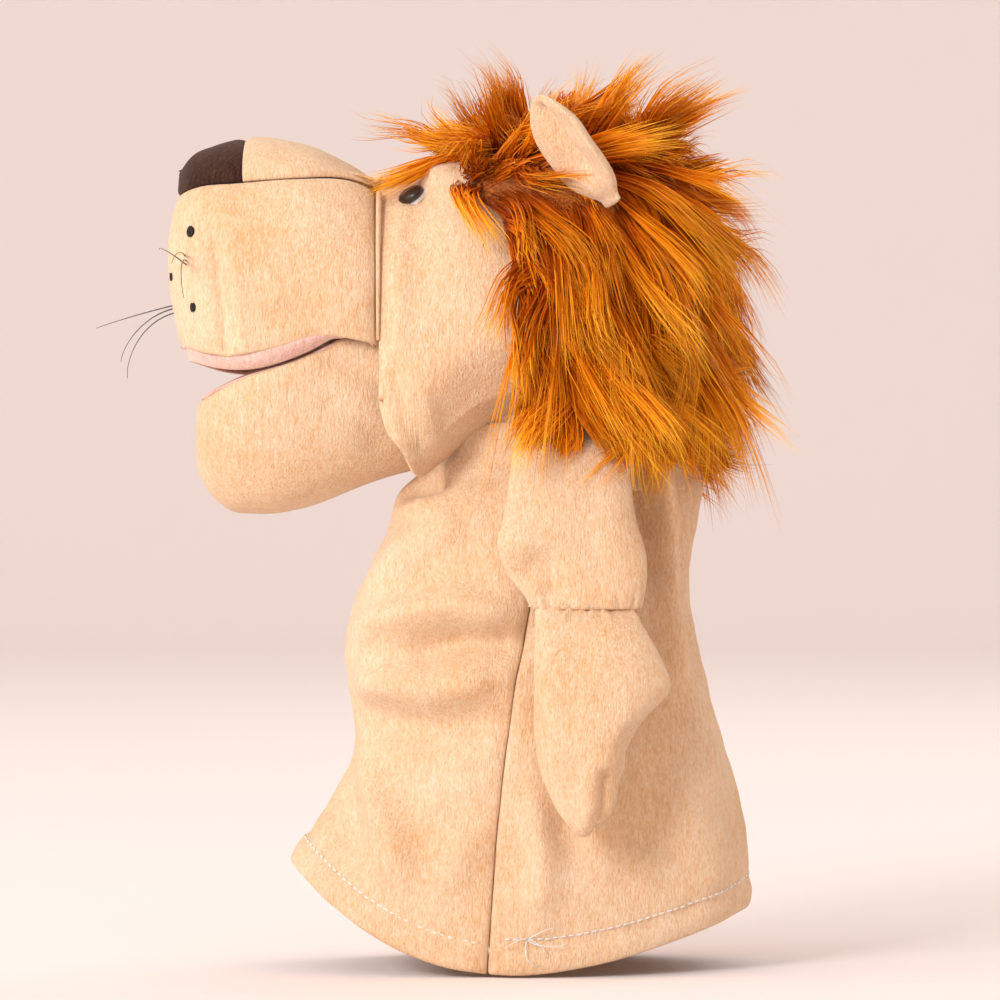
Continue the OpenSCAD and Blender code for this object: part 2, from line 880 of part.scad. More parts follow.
module paw_stuffing(side) {
    color(fill_white) mirror([0, side == "left" ? 1 : 0, 0]) paw_core(0.05);
}

module left_paw_stuffing() {
    paw_stuffing("left");
}

module right_paw_stuffing() {
    paw_stuffing("right");
}

body_front_panel();
body_back_panel();
hem_stitching();
neck_collar();
left_muzzle_panel();
right_muzzle_panel();
nose_bridge_panel();
nose();
left_cheek_panel();
right_cheek_panel();
upper_palate_board();
upper_mouth_lining();
finger_pocket();
muzzle_stuffing();
crown_stuffing();
left_mane_panel();
right_mane_panel();
back_mane_panel();
left_eye();
right_eye();
left_eye_washer();
right_eye_washer();
left_whiskers();
right_whiskers();
left_whisker_spots();
right_whisker_spots();
left_jaw_panel();
right_jaw_panel();
jaw_stuffing();
lower_palate_board();
lower_mouth_lining();
thumb_pocket();
left_ear_front();
left_ear_back();
right_ear_front();
right_ear_back();
left_arm_sleeve();
right_arm_sleeve();
left_wrist_stitching();
right_wrist_stitching();
left_paw_shell();
right_paw_shell();
left_paw_stuffing();
right_paw_stuffing();
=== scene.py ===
import math

import bmesh
import bpy
import numpy as np
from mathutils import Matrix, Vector


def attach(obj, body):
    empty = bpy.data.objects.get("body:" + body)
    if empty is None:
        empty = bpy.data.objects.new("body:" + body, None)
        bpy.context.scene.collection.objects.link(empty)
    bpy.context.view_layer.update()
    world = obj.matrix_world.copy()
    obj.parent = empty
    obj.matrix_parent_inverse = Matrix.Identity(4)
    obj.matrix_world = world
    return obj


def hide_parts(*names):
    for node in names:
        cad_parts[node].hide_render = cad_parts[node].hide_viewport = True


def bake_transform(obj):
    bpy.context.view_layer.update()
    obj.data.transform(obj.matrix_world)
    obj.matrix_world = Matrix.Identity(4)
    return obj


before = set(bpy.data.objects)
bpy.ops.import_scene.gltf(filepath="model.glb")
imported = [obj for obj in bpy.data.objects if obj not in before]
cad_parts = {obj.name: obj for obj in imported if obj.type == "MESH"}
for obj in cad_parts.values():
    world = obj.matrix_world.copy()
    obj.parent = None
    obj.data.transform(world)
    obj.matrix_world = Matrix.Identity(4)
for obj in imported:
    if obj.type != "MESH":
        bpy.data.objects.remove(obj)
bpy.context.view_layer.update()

# ---------------------------------------------------------------------------------------------
# Camera, floor and light
# A pale floor runs up into a round cove, so every view has the same plain ground. A soft light
# hangs in front, a weaker one on each side and one over the wall. The rest is a pale sky.
mm = 0.001
view_centre = Vector((-6.7, 0, 155)) * mm
view_width = 333 * mm
camera_distance = 1.5
near_side = 0.006           # the puppet's middle depth lies this far in front of its centre line
sensor = 36                 # of the camera, in millimetres

camera = bpy.data.cameras.new("camera")
camera.sensor_width = sensor
camera.lens = sensor * (camera_distance - near_side) / view_width
camera.clip_end = 40
camera_object = bpy.data.objects.new("camera", camera)
camera_object.location = view_centre - Vector((0, camera_distance, 0))
camera_object.rotation_euler = (math.pi / 2, 0, 0)
bpy.context.collection.objects.link(camera_object)
bpy.context.scene.camera = camera_object
bpy.context.scene.view_settings.view_transform = "Standard"


def tie(tree, kind, ins=None, **settings):
    """Adds one node to a shader or geometry tree, with its settings, values and links."""
    made = tree.nodes.new(kind)
    for key, value in settings.items():
        setattr(made, key, value)
    for key, value in (ins or {}).items():
        if isinstance(value, bpy.types.NodeSocket):
            tree.links.new(value, made.inputs[key])
        else:
            made.inputs[key].default_value = value
    return made


def finish_named(name, colour, roughness, **sockets):
    """A material with one shader. Sockets are the shader's own, with constant values."""
    made = bpy.data.materials.new(name)
    made.use_nodes = True
    shader = made.node_tree.nodes["Principled BSDF"]
    shader.inputs["Base Color"].default_value = (*colour, 1)
    shader.inputs["Roughness"].default_value = roughness
    for key, value in sockets.items():
        shader.inputs[key.replace("_", " ")].default_value = value
    return made, made.node_tree, shader


floor_flat, cove_radius, floor_z = 3.2, 1.2, -0.0005
wall_height = 3.5
bends = np.linspace(0, math.pi / 2, 17)
profile = [(0.0, 0.0), (floor_flat, 0.0)]
profile += [
    (floor_flat + cove_radius * math.sin(b), cove_radius * (1 - math.cos(b))) for b in bends[1:]
]
profile.append((floor_flat + cove_radius, wall_height))
turns = 64
floor_points = [
    (r * math.cos(a), r * math.sin(a), z + floor_z)
    for r, z in profile[1:]
    for a in np.linspace(0, 2 * math.pi, turns, endpoint=False)
]
floor_faces = [
    (
        i * turns + j,
        (i + 1) * turns + j,
        (i + 1) * turns + (j + 1) % turns,
        i * turns + (j + 1) % turns,
    )
    for i in range(len(profile) - 2)
    for j in range(turns)
]
floor_faces.append(tuple(range(turns)))
floor_mesh = bpy.data.meshes.new("floor")
floor_mesh.from_pydata(floor_points, [], floor_faces)
floor = bpy.data.objects.new("floor", floor_mesh)
bpy.context.collection.objects.link(floor)
floor_paint, _, _ = finish_named("floor_paint", (0.90, 0.815, 0.785), 0.9)
floor_mesh.materials.append(floor_paint)
for polygon in floor_mesh.polygons:
    polygon.use_smooth = True

for name, place, target, size, watts in [
    ("front_light", (-1.25, -1.5, 1.0), view_centre, 0.7, 27),
    ("left_light", (-1.8, -0.5, 1.2), view_centre, 1.0, 9),
    ("right_light", (1.5, 0.9, 1.5), view_centre, 1.2, 9),
    ("wall_light", (0, 1.2, 2.6), (0, 4.4, 0.4), 2.4, 15),
]:
    light = bpy.data.lights.new(name, "AREA")
    light.energy, light.size = watts, size
    light_object = bpy.data.objects.new(name, light)
    light_object.location = place
    aim = Vector(target) - Vector(place)
    light_object.rotation_euler = aim.to_track_quat("-Z", "Y").to_euler()
    bpy.context.collection.objects.link(light_object)

sky = bpy.data.worlds.new("sky")
bpy.context.scene.world = sky
sky.use_nodes = True
sky.node_tree.nodes["Background"].inputs["Color"].default_value = (1.0, 0.93, 0.89, 1)
sky.node_tree.nodes["Background"].inputs["Strength"].default_value = 0.78

# ---------------------------------------------------------------------------------------------
# Body front and back panels
# The sleeve over the forearm is two panels of cream short-pile velour, sewn down both sides and
# turned up at the hem. It hangs loose, so it folds below the chin, at the armpits and behind
# the arms.
cloth = 2.2                 # velour with its pile
body_top = 171


def through(at, knots):
    """A smooth curve through given points, read at one place or many."""
    places, values = np.array(knots, float).T
    slopes = np.gradient(values, places)
    at = np.clip(at, places[0], places[-1])
    k = np.clip(np.searchsorted(places, at, side="right") - 1, 0, len(places) - 2)
    width = places[k + 1] - places[k]
    t = (at - places[k]) / width
    return (
        (2 * t**3 - 3 * t**2 + 1) * values[k]
        + (t**3 - 2 * t**2 + t) * width * slopes[k]
        + (3 * t**2 - 2 * t**3) * values[k + 1]
        + (t**3 - t**2) * width * slopes[k + 1]
    )


def bump(distance, width):
    return np.exp(-((distance / width) ** 2))


def ease(value, low, high):
    t = np.clip((value - low) / (high - low), 0, 1)
    return t * t * (3 - 2 * t)


def from_line(x, z, line):
    """Distance of many points to a line of straight stretches, and how far along they are."""
    best = np.full(np.shape(x), 1e9)
    share = np.zeros(np.shape(x))
    for k, ((ax, az), (bx, bz)) in enumerate(zip(line, line[1:])):
        dx, dz = bx - ax, bz - az
        t = np.clip(((x - ax) * dx + (z - az) * dz) / (dx * dx + dz * dz), 0, 1)
        away = np.hypot(x - ax - t * dx, z - az - t * dz)
        share = np.where(away < best, (k + t) / (len(line) - 1), share)
        best = np.minimum(best, away)
    return best, share


def normals_of(grid, closed=False):
    """Unit normals of a grid of points, rows crossed with columns."""
    if closed:
        around = np.roll(grid, -1, 0) - np.roll(grid, 1, 0)
    else:
        around = np.gradient(grid, axis=0)
    up = np.gradient(grid, axis=1)
    found = np.cross(around, up)
    length = np.linalg.norm(found, axis=-1, keepdims=True)
    return found / np.maximum(length, 1e-9)


def uneven(grid, height, size, seed):
    """Slow waves that hand-sewn cloth has, as a height at each point of a grid."""
    draw = np.random.default_rng(seed)
    total = np.zeros(grid.shape[:-1])
    for _ in range(7):
        way = draw.normal(size=3)
        way *= 2 * math.pi / (size * draw.uniform(0.7, 1.5) * np.linalg.norm(way))
        total += np.sin(grid @ way + draw.uniform(0, 2 * math.pi))
    return total * height / 3


def mesh_piece(name, grid, closed=False, material=None):
    """A piece from a grid of points in millimetres, its faces smooth."""
    rows, columns = grid.shape[:2]
    mesh = bpy.data.meshes.new(name)
    last = rows if closed else rows - 1
    i, j = np.meshgrid(np.arange(last), np.arange(columns - 1), indexing="ij")
    a = i * columns + j
    b = ((i + 1) % rows) * columns + j
    faces = np.stack([a, b, b + 1, a + 1], -1).reshape(-1, 4)
    mesh.from_pydata((grid.reshape(-1, 3) * mm).tolist(), [], faces.tolist())
    mesh.shade_smooth()
    piece = bpy.data.objects.new(name, mesh)
    bpy.context.collection.objects.link(piece)
    if material:
        mesh.materials.append(material)
    return piece


def settle(piece):
    """Applies a piece's modifiers and leaves a plain mesh."""
    seen = piece.evaluated_get(bpy.context.evaluated_depsgraph_get())
    mesh = bpy.data.meshes.new_from_object(seen)
    mesh.name = piece.name
    piece.modifiers.clear()
    piece.data = mesh
    return piece


def thicken(piece, thickness=cloth, rounds=1):
    """Gives cloth its thickness on the inside and rounds its edges."""
    wall = piece.modifiers.new("wall", "SOLIDIFY")
    wall.thickness, wall.offset = thickness * mm, -1
    smooth = piece.modifiers.new("smooth", "SUBSURF")
    smooth.levels = smooth.render_levels = rounds
    return settle(piece)


# each edge of a grid: the axis it ends, its own index there and the index of its neighbour
grid_edges = {"first": (0, 0, 1), "last": (0, -1, -2), "low": (1, 0, 1), "high": (1, -1, -2)}


def turned_in(grid, sides, depth=3.2, past=0.35):
    """Turns the named edges of a panel inwards, as its seam allowance lies behind the seam."""
    inward = -normals_of(grid)
    for side in sides:
        axis, end, step = grid_edges[side]
        rim, inner = np.take(grid, end, axis), np.take(grid, step, axis)
        way = rim - inner
        way = way / np.maximum(np.linalg.norm(way, axis=-1, keepdims=True), 1e-9)
        rim = rim + way * past
        tucked = rim + np.take(inward, end, axis) * depth
        extra = np.expand_dims(tucked, axis)
        mid = np.expand_dims(rim, axis)
        keep_inward = np.take(inward, [end], axis)
        body = np.delete(grid, end if end == 0 else grid.shape[axis] - 1, axis)
        if end == 0:
            grid = np.concatenate([extra, mid, body], axis)
            inward = np.concatenate([keep_inward, inward], axis)
        else:
            grid = np.concatenate([body, mid, extra], axis)
            inward = np.concatenate([inward, keep_inward], axis)
    return grid


def velour(name, shade, base, light, nap=0.0008, sheen=0.35):
    """Short-pile cloth: brushed patches painted in a shaded, a plain and a lit tone (painted shade and
    painted highlight), fine upright streaks of pile and a soft sheen.
    """
    made, tree, shader = finish_named(name, base, 0.92)
    shader.inputs["Sheen Weight"].default_value = sheen
    shader.inputs["Sheen Roughness"].default_value = 0.45
    shader.inputs["Sheen Tint"].default_value = (1.0, 0.9, 0.76, 1)
    shader.inputs["Specular IOR Level"].default_value = 0.25
    place = tie(tree, "ShaderNodeTexCoord").outputs["Object"]
    streaks = tie(tree, "ShaderNodeMapping", {"Vector": place, "Scale": (1.0, 1.0, 0.34)}).outputs[0]
    parts = []
    for way, scale, detail, weight in [
        (place, 30, 2, 0.36), (streaks, 600, 3, 0.32), (streaks, 1800, 2, 0.52)
    ]:
        noise = tie(tree, "ShaderNodeTexNoise", {"Vector": way, "Scale": scale, "Detail": detail})
        parts.append((noise.outputs["Fac"], weight))
    total = None
    for socket, weight in parts:
        scaled = tie(tree, "ShaderNodeMath", {0: socket, 1: weight}, operation="MULTIPLY").outputs[0]
        if total is None:
            total = scaled
        else:
            total = tie(tree, "ShaderNodeMath", {0: total, 1: scaled}, operation="ADD").outputs[0]
    # painted shade and painted highlight: noise spreads the cloth's shaded tone, plain tone and lit tone in
    # patches
    ramp = tie(tree, "ShaderNodeValToRGB", {"Fac": total})
    ramp.color_ramp.elements[0].position = 0.44
    ramp.color_ramp.elements[0].color = (*shade, 1)
    ramp.color_ramp.elements[1].position = 0.76
    ramp.color_ramp.elements[1].color = (*light, 1)
    middle = ramp.color_ramp.elements.new(0.60)
    middle.color = (*base, 1)
    tree.links.new(ramp.outputs["Color"], shader.inputs["Base Color"])
    pile = tie(
        tree, "ShaderNodeTexNoise",
        {"Vector": streaks, "Scale": 1700, "Detail": 3, "Roughness": 0.7},
    )
    brushed = tie(tree, "ShaderNodeTexNoise", {"Vector": streaks, "Scale": 650, "Detail": 2})
    height = tie(
        tree, "ShaderNodeMath", {0: brushed.outputs["Fac"], 1: 0.6, 2: pile.outputs["Fac"]},
        operation="MULTIPLY_ADD",
    )
    rise = tie(
        tree, "ShaderNodeBump", {"Strength": 0.95, "Distance": nap, "Height": height.outputs[0]}
    )
    tree.links.new(rise.outputs["Normal"], shader.inputs["Normal"])
    return made


# cream velour tones: painted shade, plain colour, painted highlight
cream = velour("cream_velour", (0.77, 0.44, 0.215), (0.86, 0.58, 0.355), (0.92, 0.71, 0.50))

hem_front, hem_back = 35, 20
hem_turn = 9.5              # depth of the turned-up hem
armpit = (1.7, 112)
fold_strength = 1.9         # how much the side folds stand out beyond their listed heights
body_fronts = [
    (0, -77), (0.14, -64), (0.27, -55.5), (0.38, -56), (0.52, -58.5), (0.64, -56), (0.74, -50),
    (0.84, -43.5), (0.91, -40), (0.95, -33), (1, -29)
]
body_backs = [
    (0, 77), (0.08, 76.5), (0.30, 70.5), (0.52, 61.5), (0.66, 57.5), (0.8, 57.5), (0.92, 60), (1, 60)
]
body_sides = [
    (0, 42), (0.2, 40), (0.4, 38.5), (0.62, 37), (0.8, 35.5), (0.92, 32), (1, 28.5)
]
# Folds on the sides: the line that each follows, how far it stands out or sinks in, its width
side_folds = [
    ([(-3, 116), (-22, 121), (-45, 116), (-56, 109)], 3.0, 6),
    ([(-2, 108), (-20, 109), (-38, 104)], -2.6, 5),
    ([(-8, 97), (-30, 92), (-55, 95)], 2.6, 7),
    ([(-10, 82), (-30, 80), (-52, 84)], -2.4, 8),
    ([(-52, 125), (-36, 138), (-18, 150)], 2.6, 7),
    ([(-55, 74), (-46, 52), (-38, 30)], 2.6, 6),
    ([(-62, 58), (-56, 40)], -2.2, 7),
    ([(-15, 45), (-26, 30)], 1.5, 7),
    ([(4, 60), (8, 40), (6, 20)], 1.6, 5),
    ([(13, 52), (18, 38)], -2.2, 6),
    ([(34, 172), (42, 148), (44, 128)], -3.6, 4.5),
    ([(42, 176), (49, 150), (47, 124), (52, 100)], 3.2, 4.5),
    ([(56, 168), (54, 140), (58, 104)], -2.6, 4),
    ([(60, 80), (58, 50), (64, 24)], 1.6, 9),
    ([(44, 70), (40, 40)], -1.3, 10),
    ([(-28, 154), (-42, 150)], 2.0, 4),
    ([(-26, 161), (-38, 158)], -3.4, 3.2),
]


def seam_x(z):
    """Where the side seam runs on the body at a height: from the hem up to the armpit."""
    return through(z, [(0, -11), (25, -9.5), (60, -6.5), (90, -2.5), (112, 1.7), (172, 14)])


def body_grid(front, around=124, upward=76):
    """Points of one body panel from side seam to side seam, rows run to the right seen from outside."""
    share = np.linspace(0, 1.06, upward)
    fronts, backs, sides = (through(share, k) for k in (body_fronts, body_backs, body_sides))
    middle, half = (fronts + backs) / 2, (backs - fronts) / 2
    seam = seam_x(body_top * share)
    seam_angle = np.arccos(np.clip((seam - middle) / half, -1, 1))
    q = np.linspace(-1, 1, around)[:, None]
    if front:
        angle = math.pi + q * (math.pi - seam_angle)
    else:
        angle = q * seam_angle
    c, s = np.cos(angle), np.sin(angle)
    x = middle + half * c
    y = sides * np.sign(s) * np.abs(s) ** 0.94
    hem = hem_front * np.maximum(-c, 0) ** 2.3 + hem_back * np.maximum(c, 0) ** 1.6
    z = hem + (body_top - hem) * share
    grid = np.stack([x, y, z], -1)
    outward = normals_of(grid)
    rise = uneven(grid, 0.7, 46, 3) * ease(share, 0, 0.2) + uneven(grid, 0.25, 13, 4)
    facing = ease(np.abs(y) / sides, 0.15, 0.6)
    for line, height, width in side_folds:
        away, along = from_line(x, z, line)
        taper = ease(along, -0.05, 0.15) * (1 - ease(along, 0.85, 1.05))
        near = 1 - 0.25 * (y > 0)
        strength = fold_strength * height * near
        rise += strength * bump(away, width) * facing * (0.35 + 0.65 * taper)
    # vertical folds at the front and back, where the cloth gathers under the head
    rise += 1.3 * np.cos(angle * 9 + 0.6) * ease(share, 0.55, 0.95) * (1 - facing)
    above = z - hem
    rise += 0.9 * bump(above - hem_turn / 2, hem_turn / 2.4)
    rise -= 0.9 * bump(above - hem_turn, 1.1)
    from_seam = (1 - np.abs(q)) * (math.pi - seam_angle if front else seam_angle) * half * 0.9
    pucker = 1 + 0.5 * np.sin(z * 1.1 + 2 * np.sin(z * 0.31))
    rise -= 0.7 * bump(from_seam, 1.5) + 0.7 * bump(from_seam, 6) * pucker
    pit = np.hypot(x - armpit[0], z - armpit[1])
    rise -= 3.0 * bump(pit, 5) * (np.abs(y) > 5)
    return turned_in(grid + outward * rise[..., None], ["first", "last"])


for name, front in (("body_front_cloth", True), ("body_back_cloth", False)):
    panel = mesh_piece(name, body_grid(front), material=cream)
    thicken(panel)
    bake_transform(panel)
    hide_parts("body_front_panel" if front else "body_back_panel")

# ---------------------------------------------------------------------------------------------
# Muzzle side panels
# Two panels of velour over a stuffed muzzle, sewn together down the front, to the nose bridge
# along the top and to the cheeks behind. The front corner of each is pinched by a short dart.
seam_place = -47            # where the muzzle meets the cheeks
muzzle_front = -117.3
lip_line = [(-116, 208), (-110, 205), (-98, 202.5), (-77, 205.5), (-66, 208.6), (-58, 208), (-47, 206)]
bridge_seam = [(-118, 255), (-107, 258.3), (-93, 259.4), (-73, 260.6), (-57, 260.8), (-47, 258.6)]
muzzle_tops = [(-118, 276), (-91, 276), (-73, 274), (-60, 268.5), (-47, 260.8)]
muzzle_half = 38.5
plan_power = 3.1            # how square the muzzle is, seen from above
arch_power = 3.2            # how square its cross-section is
front_bulge = [(0, 4.5), (0.25, 1.2), (0.55, 0), (0.8, 0.8), (1, 3.4)]


def muzzle_side(along, share):
    """A point on the -Y side: along runs from cheek seam to front seam, share from lip to bridge."""
    front = muzzle_front + through(share, front_bulge)
    turn = along * math.pi / 2
    x = seam_place + (front - seam_place) * np.sin(turn) ** (2 / plan_power)
    lip, seam = through(x, lip_line), through(x, bridge_seam)
    z = lip + (seam - lip) * share
    foot = lip - 14
    height = np.clip((z - foot) / (through(x, muzzle_tops) - foot), 0, 0.9999)
    half = muzzle_half * (1 - height**arch_power) ** (1 / arch_power)
    y = -half * np.cos(turn) ** (2 / plan_power)
    return np.stack([x, y, z], -1)


def mirrored(grid):
    """The same panel on the other side, its rows turned round so that it still faces outwards."""
    return (grid * np.array([1, -1, 1]))[::-1]


along = np.linspace(0, 1, 76)[:, None] ** 0.9
share = np.linspace(0, 1, 58)[None, :]
side = muzzle_side(along, share + 0 * along)[::-1]
from_rear = side[..., 0] - seam_place
outward = normals_of(side)
rise = uneven(side, 0.5, 34, 11) + 1.2 * bump(side[..., 0] + 82, 26) * bump(share - 0.5, 0.5)
edge = np.minimum(share * 50, (1 - share) * 50)
rise -= 0.6 * bump(edge, 1.8) + 0.9 * bump(from_rear, 2.2)
rise -= 0.7 * bump(np.abs(side[..., 1]), 2.0)
dart, dart_along = from_line(side[..., 0], side[..., 2], [(-101.5, 244), (-98.5, 232), (-96.5, 205)])
rise -= 1.3 * bump(dart, 1.7) * ease(dart_along, 0, 0.3)
rise += 0.9 * bump(dart - 5.5, 4)
corner, _ = from_line(side[..., 0], side[..., 2], [(-60, 219), (-49, 232)])
rise += 0.8 * bump(corner, 8)
muzzle_skin = side + outward * rise[..., None]
side = turned_in(muzzle_skin, ["first", "last", "high", "low"])
for name, grid in (("left_muzzle_cloth", side), ("right_muzzle_cloth", mirrored(side))):
    panel = thicken(mesh_piece(name, grid, material=cream))
    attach(panel, "head")
    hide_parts(name.replace("cloth", "panel"))

# ---------------------------------------------------------------------------------------------
# Nose bridge and nose
# One gusset closes the top of the muzzle. Its rear part is cream velour and its front the nose,
# dark brown short-pile cloth, sewn across where the bridge is highest.
nose_end = -91.5
crowns = [
    (-117.5, 0), (-115, 6), (-111.5, 10.5), (-102, 14.6), (-91, 16.6), (-73, 13.4), (-60, 7.2),
    (-47, 1.4)
]
brown = velour(
    "nose_velour", (0.020, 0.007, 0.004), (0.050, 0.019, 0.011), (0.10, 0.042, 0.024),
    nap=0.0005, sheen=0.08,
)


def gusset(start, end, rows, across=60):
    """Points of the gusset between two places along the muzzle."""
    reach = (muzzle_front + through(1.0, front_bulge)) - seam_place
    limits = [
        np.arcsin(np.clip((place - seam_place) / reach, 0, 1) ** (plan_power / 2))
        for place in (start, end)
    ]
    turns_along = np.linspace(limits[0], limits[1], rows) / (math.pi / 2)
    edge_point = muzzle_side(turns_along, np.ones(rows))
    w = np.sin(np.linspace(-1, 1, across) * math.pi / 2)[None, :]
    x = edge_point[:, :1] + 0 * w
    y = w * -edge_point[:, 1:2]
    crown = through(edge_point[:, 0], crowns)[:, None]
    z = edge_point[:, 2:] + crown * (1 - np.abs(w) ** 2.3) ** 0.5
    return np.stack([x, y, z], -1)[:, ::-1]


bridge_cut, nose_cut = (0.06, 0.05), (0.065, 0.035)
bridge_ends, nose_ends = (seam_place, nose_end), (nose_end, muzzle_front + 3.4)
for name, ends, rows, paint, node, slot, cut in [
    (
        "nose_bridge_cloth", bridge_ends, 60, cream,
        "nose_bridge_panel", "cream_velour", bridge_cut,
    ),
    ("nose_cloth", nose_ends, 46, brown, "nose", "brown_pile", nose_cut),
]:
    grid = gusset(*ends, rows)
    outward = normals_of(grid)
    outward[-1] = outward[-2]
    rise = uneven(grid, 0.4, 24, 21)
    from_edge = (1 - np.abs(np.linspace(-1, 1, grid.shape[1])))[None, :] * 30
    rise -= 0.7 * bump(from_edge, 1.8) + 0.9 * bump(grid[..., 0] - nose_end, 1.6)
    rise -= 1.3 * bump(grid[..., 0] - seam_place, 2.2)
    grid = turned_in(grid + outward * rise[..., None], ["first", "last", "low", "high"])
    panel = thicken(mesh_piece(name, grid, material=paint))
    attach(panel, "head")
    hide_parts(node)

# ---------------------------------------------------------------------------------------------
# Cheek panels
# The sides of the face, from the muzzle seam back under the mane and from the forehead down to
# the throat. Above each eye the velour is pushed up into a round brow.
cheek_foot = [(-47, 188), (-44, 179.5), (-40, 174), (-34, 170.5), (-26, 177), (-14, 186), (6, 193)]
cheek_tops = [(-47, 260), (-42, 259.8), (-37, 261.4), (-32, 265), (-27, 268.5), (-18, 270.5), (6, 273)]
cheek_halves = [(-47, 38.5), (-42, 40.2), (-33, 42.3), (-18, 44.3), (6, 46)]
eye_place = np.array([-36.8, -26.0, 256.2])
brow_place = np.array([-29.0, -27, 263])


def cheek(rows=52, upward=84):
    """Points on the -Y side, from the forehead's middle down to the throat's middle."""
    across = np.linspace(0, 1, rows)[:, None]
    x = seam_place + 51 * across
    foot, top, half = (through(x, k) for k in (cheek_foot, cheek_tops, cheek_halves))
    tuck = ease(x, -41, -25)
    low = -0.05 - 0.33 * tuck
    angle = (low + (0.5 - low) * np.linspace(0, 1, upward)[None, :]) * math.pi
    x = x + 11 * across * ease(angle, 0.1, 0.6)
    c, s = np.cos(angle), np.sin(angle)
    power = 2 / arch_power
    y = -half * np.abs(c) ** power
    z = foot + (top - foot) * np.maximum(s, 0) ** power - (26 - 16 * tuck) * np.maximum(-s, 0) ** 1.6
    y = y * (1 - 0.24 * tuck * ease(foot + 20 - z, 0, 26))
    return np.stack([x + 0 * y, y, z], -1)


def closed_piece(name, grid, material):
    """A piece from closed rings with both ends filled in."""
    piece = mesh_piece(name, grid, closed=True, material=material)
    rows, columns = grid.shape[:2]
    solid = bmesh.new()
    solid.from_mesh(piece.data)
    solid.verts.ensure_lookup_table()
    for column in (0, columns - 1):
        ring = [solid.verts[i * columns + column] for i in range(rows)]
        solid.faces.new(ring if column == 0 else ring[::-1])
    bmesh.ops.recalc_face_normals(solid, faces=solid.faces)
    solid.to_mesh(piece.data)
    solid.free()
    piece.data.shade_smooth()
    return piece


def joined(name, pieces):
    """Several meshes of one piece made into one."""
    with bpy.context.temp_override(active_object=pieces[0], selected_editable_objects=pieces):
        bpy.ops.object.join()
    pieces[0].name = pieces[0].data.name = name
    return pieces[0]


def tube_strand(name, points, radius, paint, tip=1.0, sides=8):
    """One thread or whisker along points in millimetres, narrowing to a share of its radius."""
    points = np.array(points, float)
    along = np.gradient(points, axis=0)
    along /= np.linalg.norm(along, axis=1, keepdims=True)
    beside = np.cross(along, (0.93, 0.31, 0.22))
    beside /= np.linalg.norm(beside, axis=1, keepdims=True)
    above = np.cross(along, beside)
    angle = np.linspace(0, 2 * math.pi, sides, endpoint=False)[:, None, None]
    wide = radius * np.linspace(1, tip, len(points))[None, :, None]
    grid = points + wide * (np.cos(angle) * beside + np.sin(angle) * above)
    return closed_piece(name, grid, paint)


face = cheek()
outward = normals_of(face)
rise = uneven(face, 0.5, 38, 31)
from_seam = face[..., 0] - seam_place
rise -= 0.9 * bump(from_seam, 2.2)
rise += 1.1 * bump(from_seam - 7.5, 3.6) * ease(face[..., 2], 195, 215)
hollow = np.linalg.norm(face - eye_place, axis=-1)
rise -= 0.5 * bump(hollow, 7)
brow = np.linalg.norm(face - brow_place, axis=-1)
rise += 6.2 * bump(brow, 6.2)
lid = face - eye_place - np.array([-1.5, -5.5, -4.5])
rise += 2.4 * bump(np.linalg.norm(lid * np.array([0.7, 1, 1]), axis=-1), 3.4)
rise -= 1.2 * bump(np.abs(face[..., 1]), 2.0)
jowl, _ = from_line(face[..., 0], face[..., 2], [(-41, 196), (-33, 172)])
rise -= 1.8 * bump(jowl, 2.6)
tuck, _ = from_line(face[..., 0], face[..., 2], [(-34, 190), (-27, 172)])
rise += 1.8 * bump(tuck, 4.5)
face = turned_in(face + outward * rise[..., None], ["first"], depth=6.4)
face = turned_in(face, ["high"])
# the seam's allowance stands up as a soft rib just behind the muzzle
rib = muzzle_side(np.zeros(40), np.linspace(0.95, 0.02, 40)) + np.array([0.5, 0.1, 0])
for name, grid in (("left_cheek_cloth", face), ("right_cheek_cloth", mirrored(face))):
    panel = thicken(mesh_piece(name, grid, material=cream))
    side_way = np.array([1, 1 if name.startswith("left") else -1, 1])
    welt = tube_strand(name + "_rib", rib * side_way, 1.0, cream, tip=0.5)
    panel = joined(name, [panel, welt])
    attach(panel, "head")
    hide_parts(name.replace("cloth", "panel"))

# ---------------------------------------------------------------------------------------------
# Lower jaw panels
# The jaw's velour is two panels sewn together under the chin. In front they are stuffed round,
# and behind the mouth they run in under the cheeks, where the cloth folds as the mouth opens.
jaw_tops = [(-108, 186.5), (-93, 194), (-73, 200.5), (-60, 206.5), (-40, 212)]
jaw_bottoms = [(-108, 176), (-106.8, 167), (-104, 159.5), (-98, 152.5), (-88, 150.3), (-73, 152.5),
               (-57, 157.5), (-42, 162.5), (-32, 166)]
jaw_front, jaw_rear = -107.7, -33
jaw_half = 33


def jaw_side(rows=86, around=50):
    """Points on the -Y side from rear to front, from the seam under the chin up to the mouth."""
    turn = np.linspace(0, 1, rows)[:, None] * math.pi / 2
    x = jaw_rear + (jaw_front - jaw_rear) * np.sin(turn) ** (2 / 2.2)
    slim = 1 - 0.08 * ease(x, -60, -34)
    half = jaw_half * slim * (1 - np.clip((x + 60) / (jaw_front + 60), 0, 1) ** 3.4) ** (1 / 3.0)
    top, bottom = through(x, jaw_tops), through(x, jaw_bottoms)
    angle = np.linspace(0, 1, around)[None, :] * math.pi / 2
    y = -half * np.sin(angle) ** (2 / 2.9)
    z = top - (top - bottom) * np.cos(angle) ** (2 / 2.9)
    return np.stack([x + 0 * y, y, z], -1)[::-1]


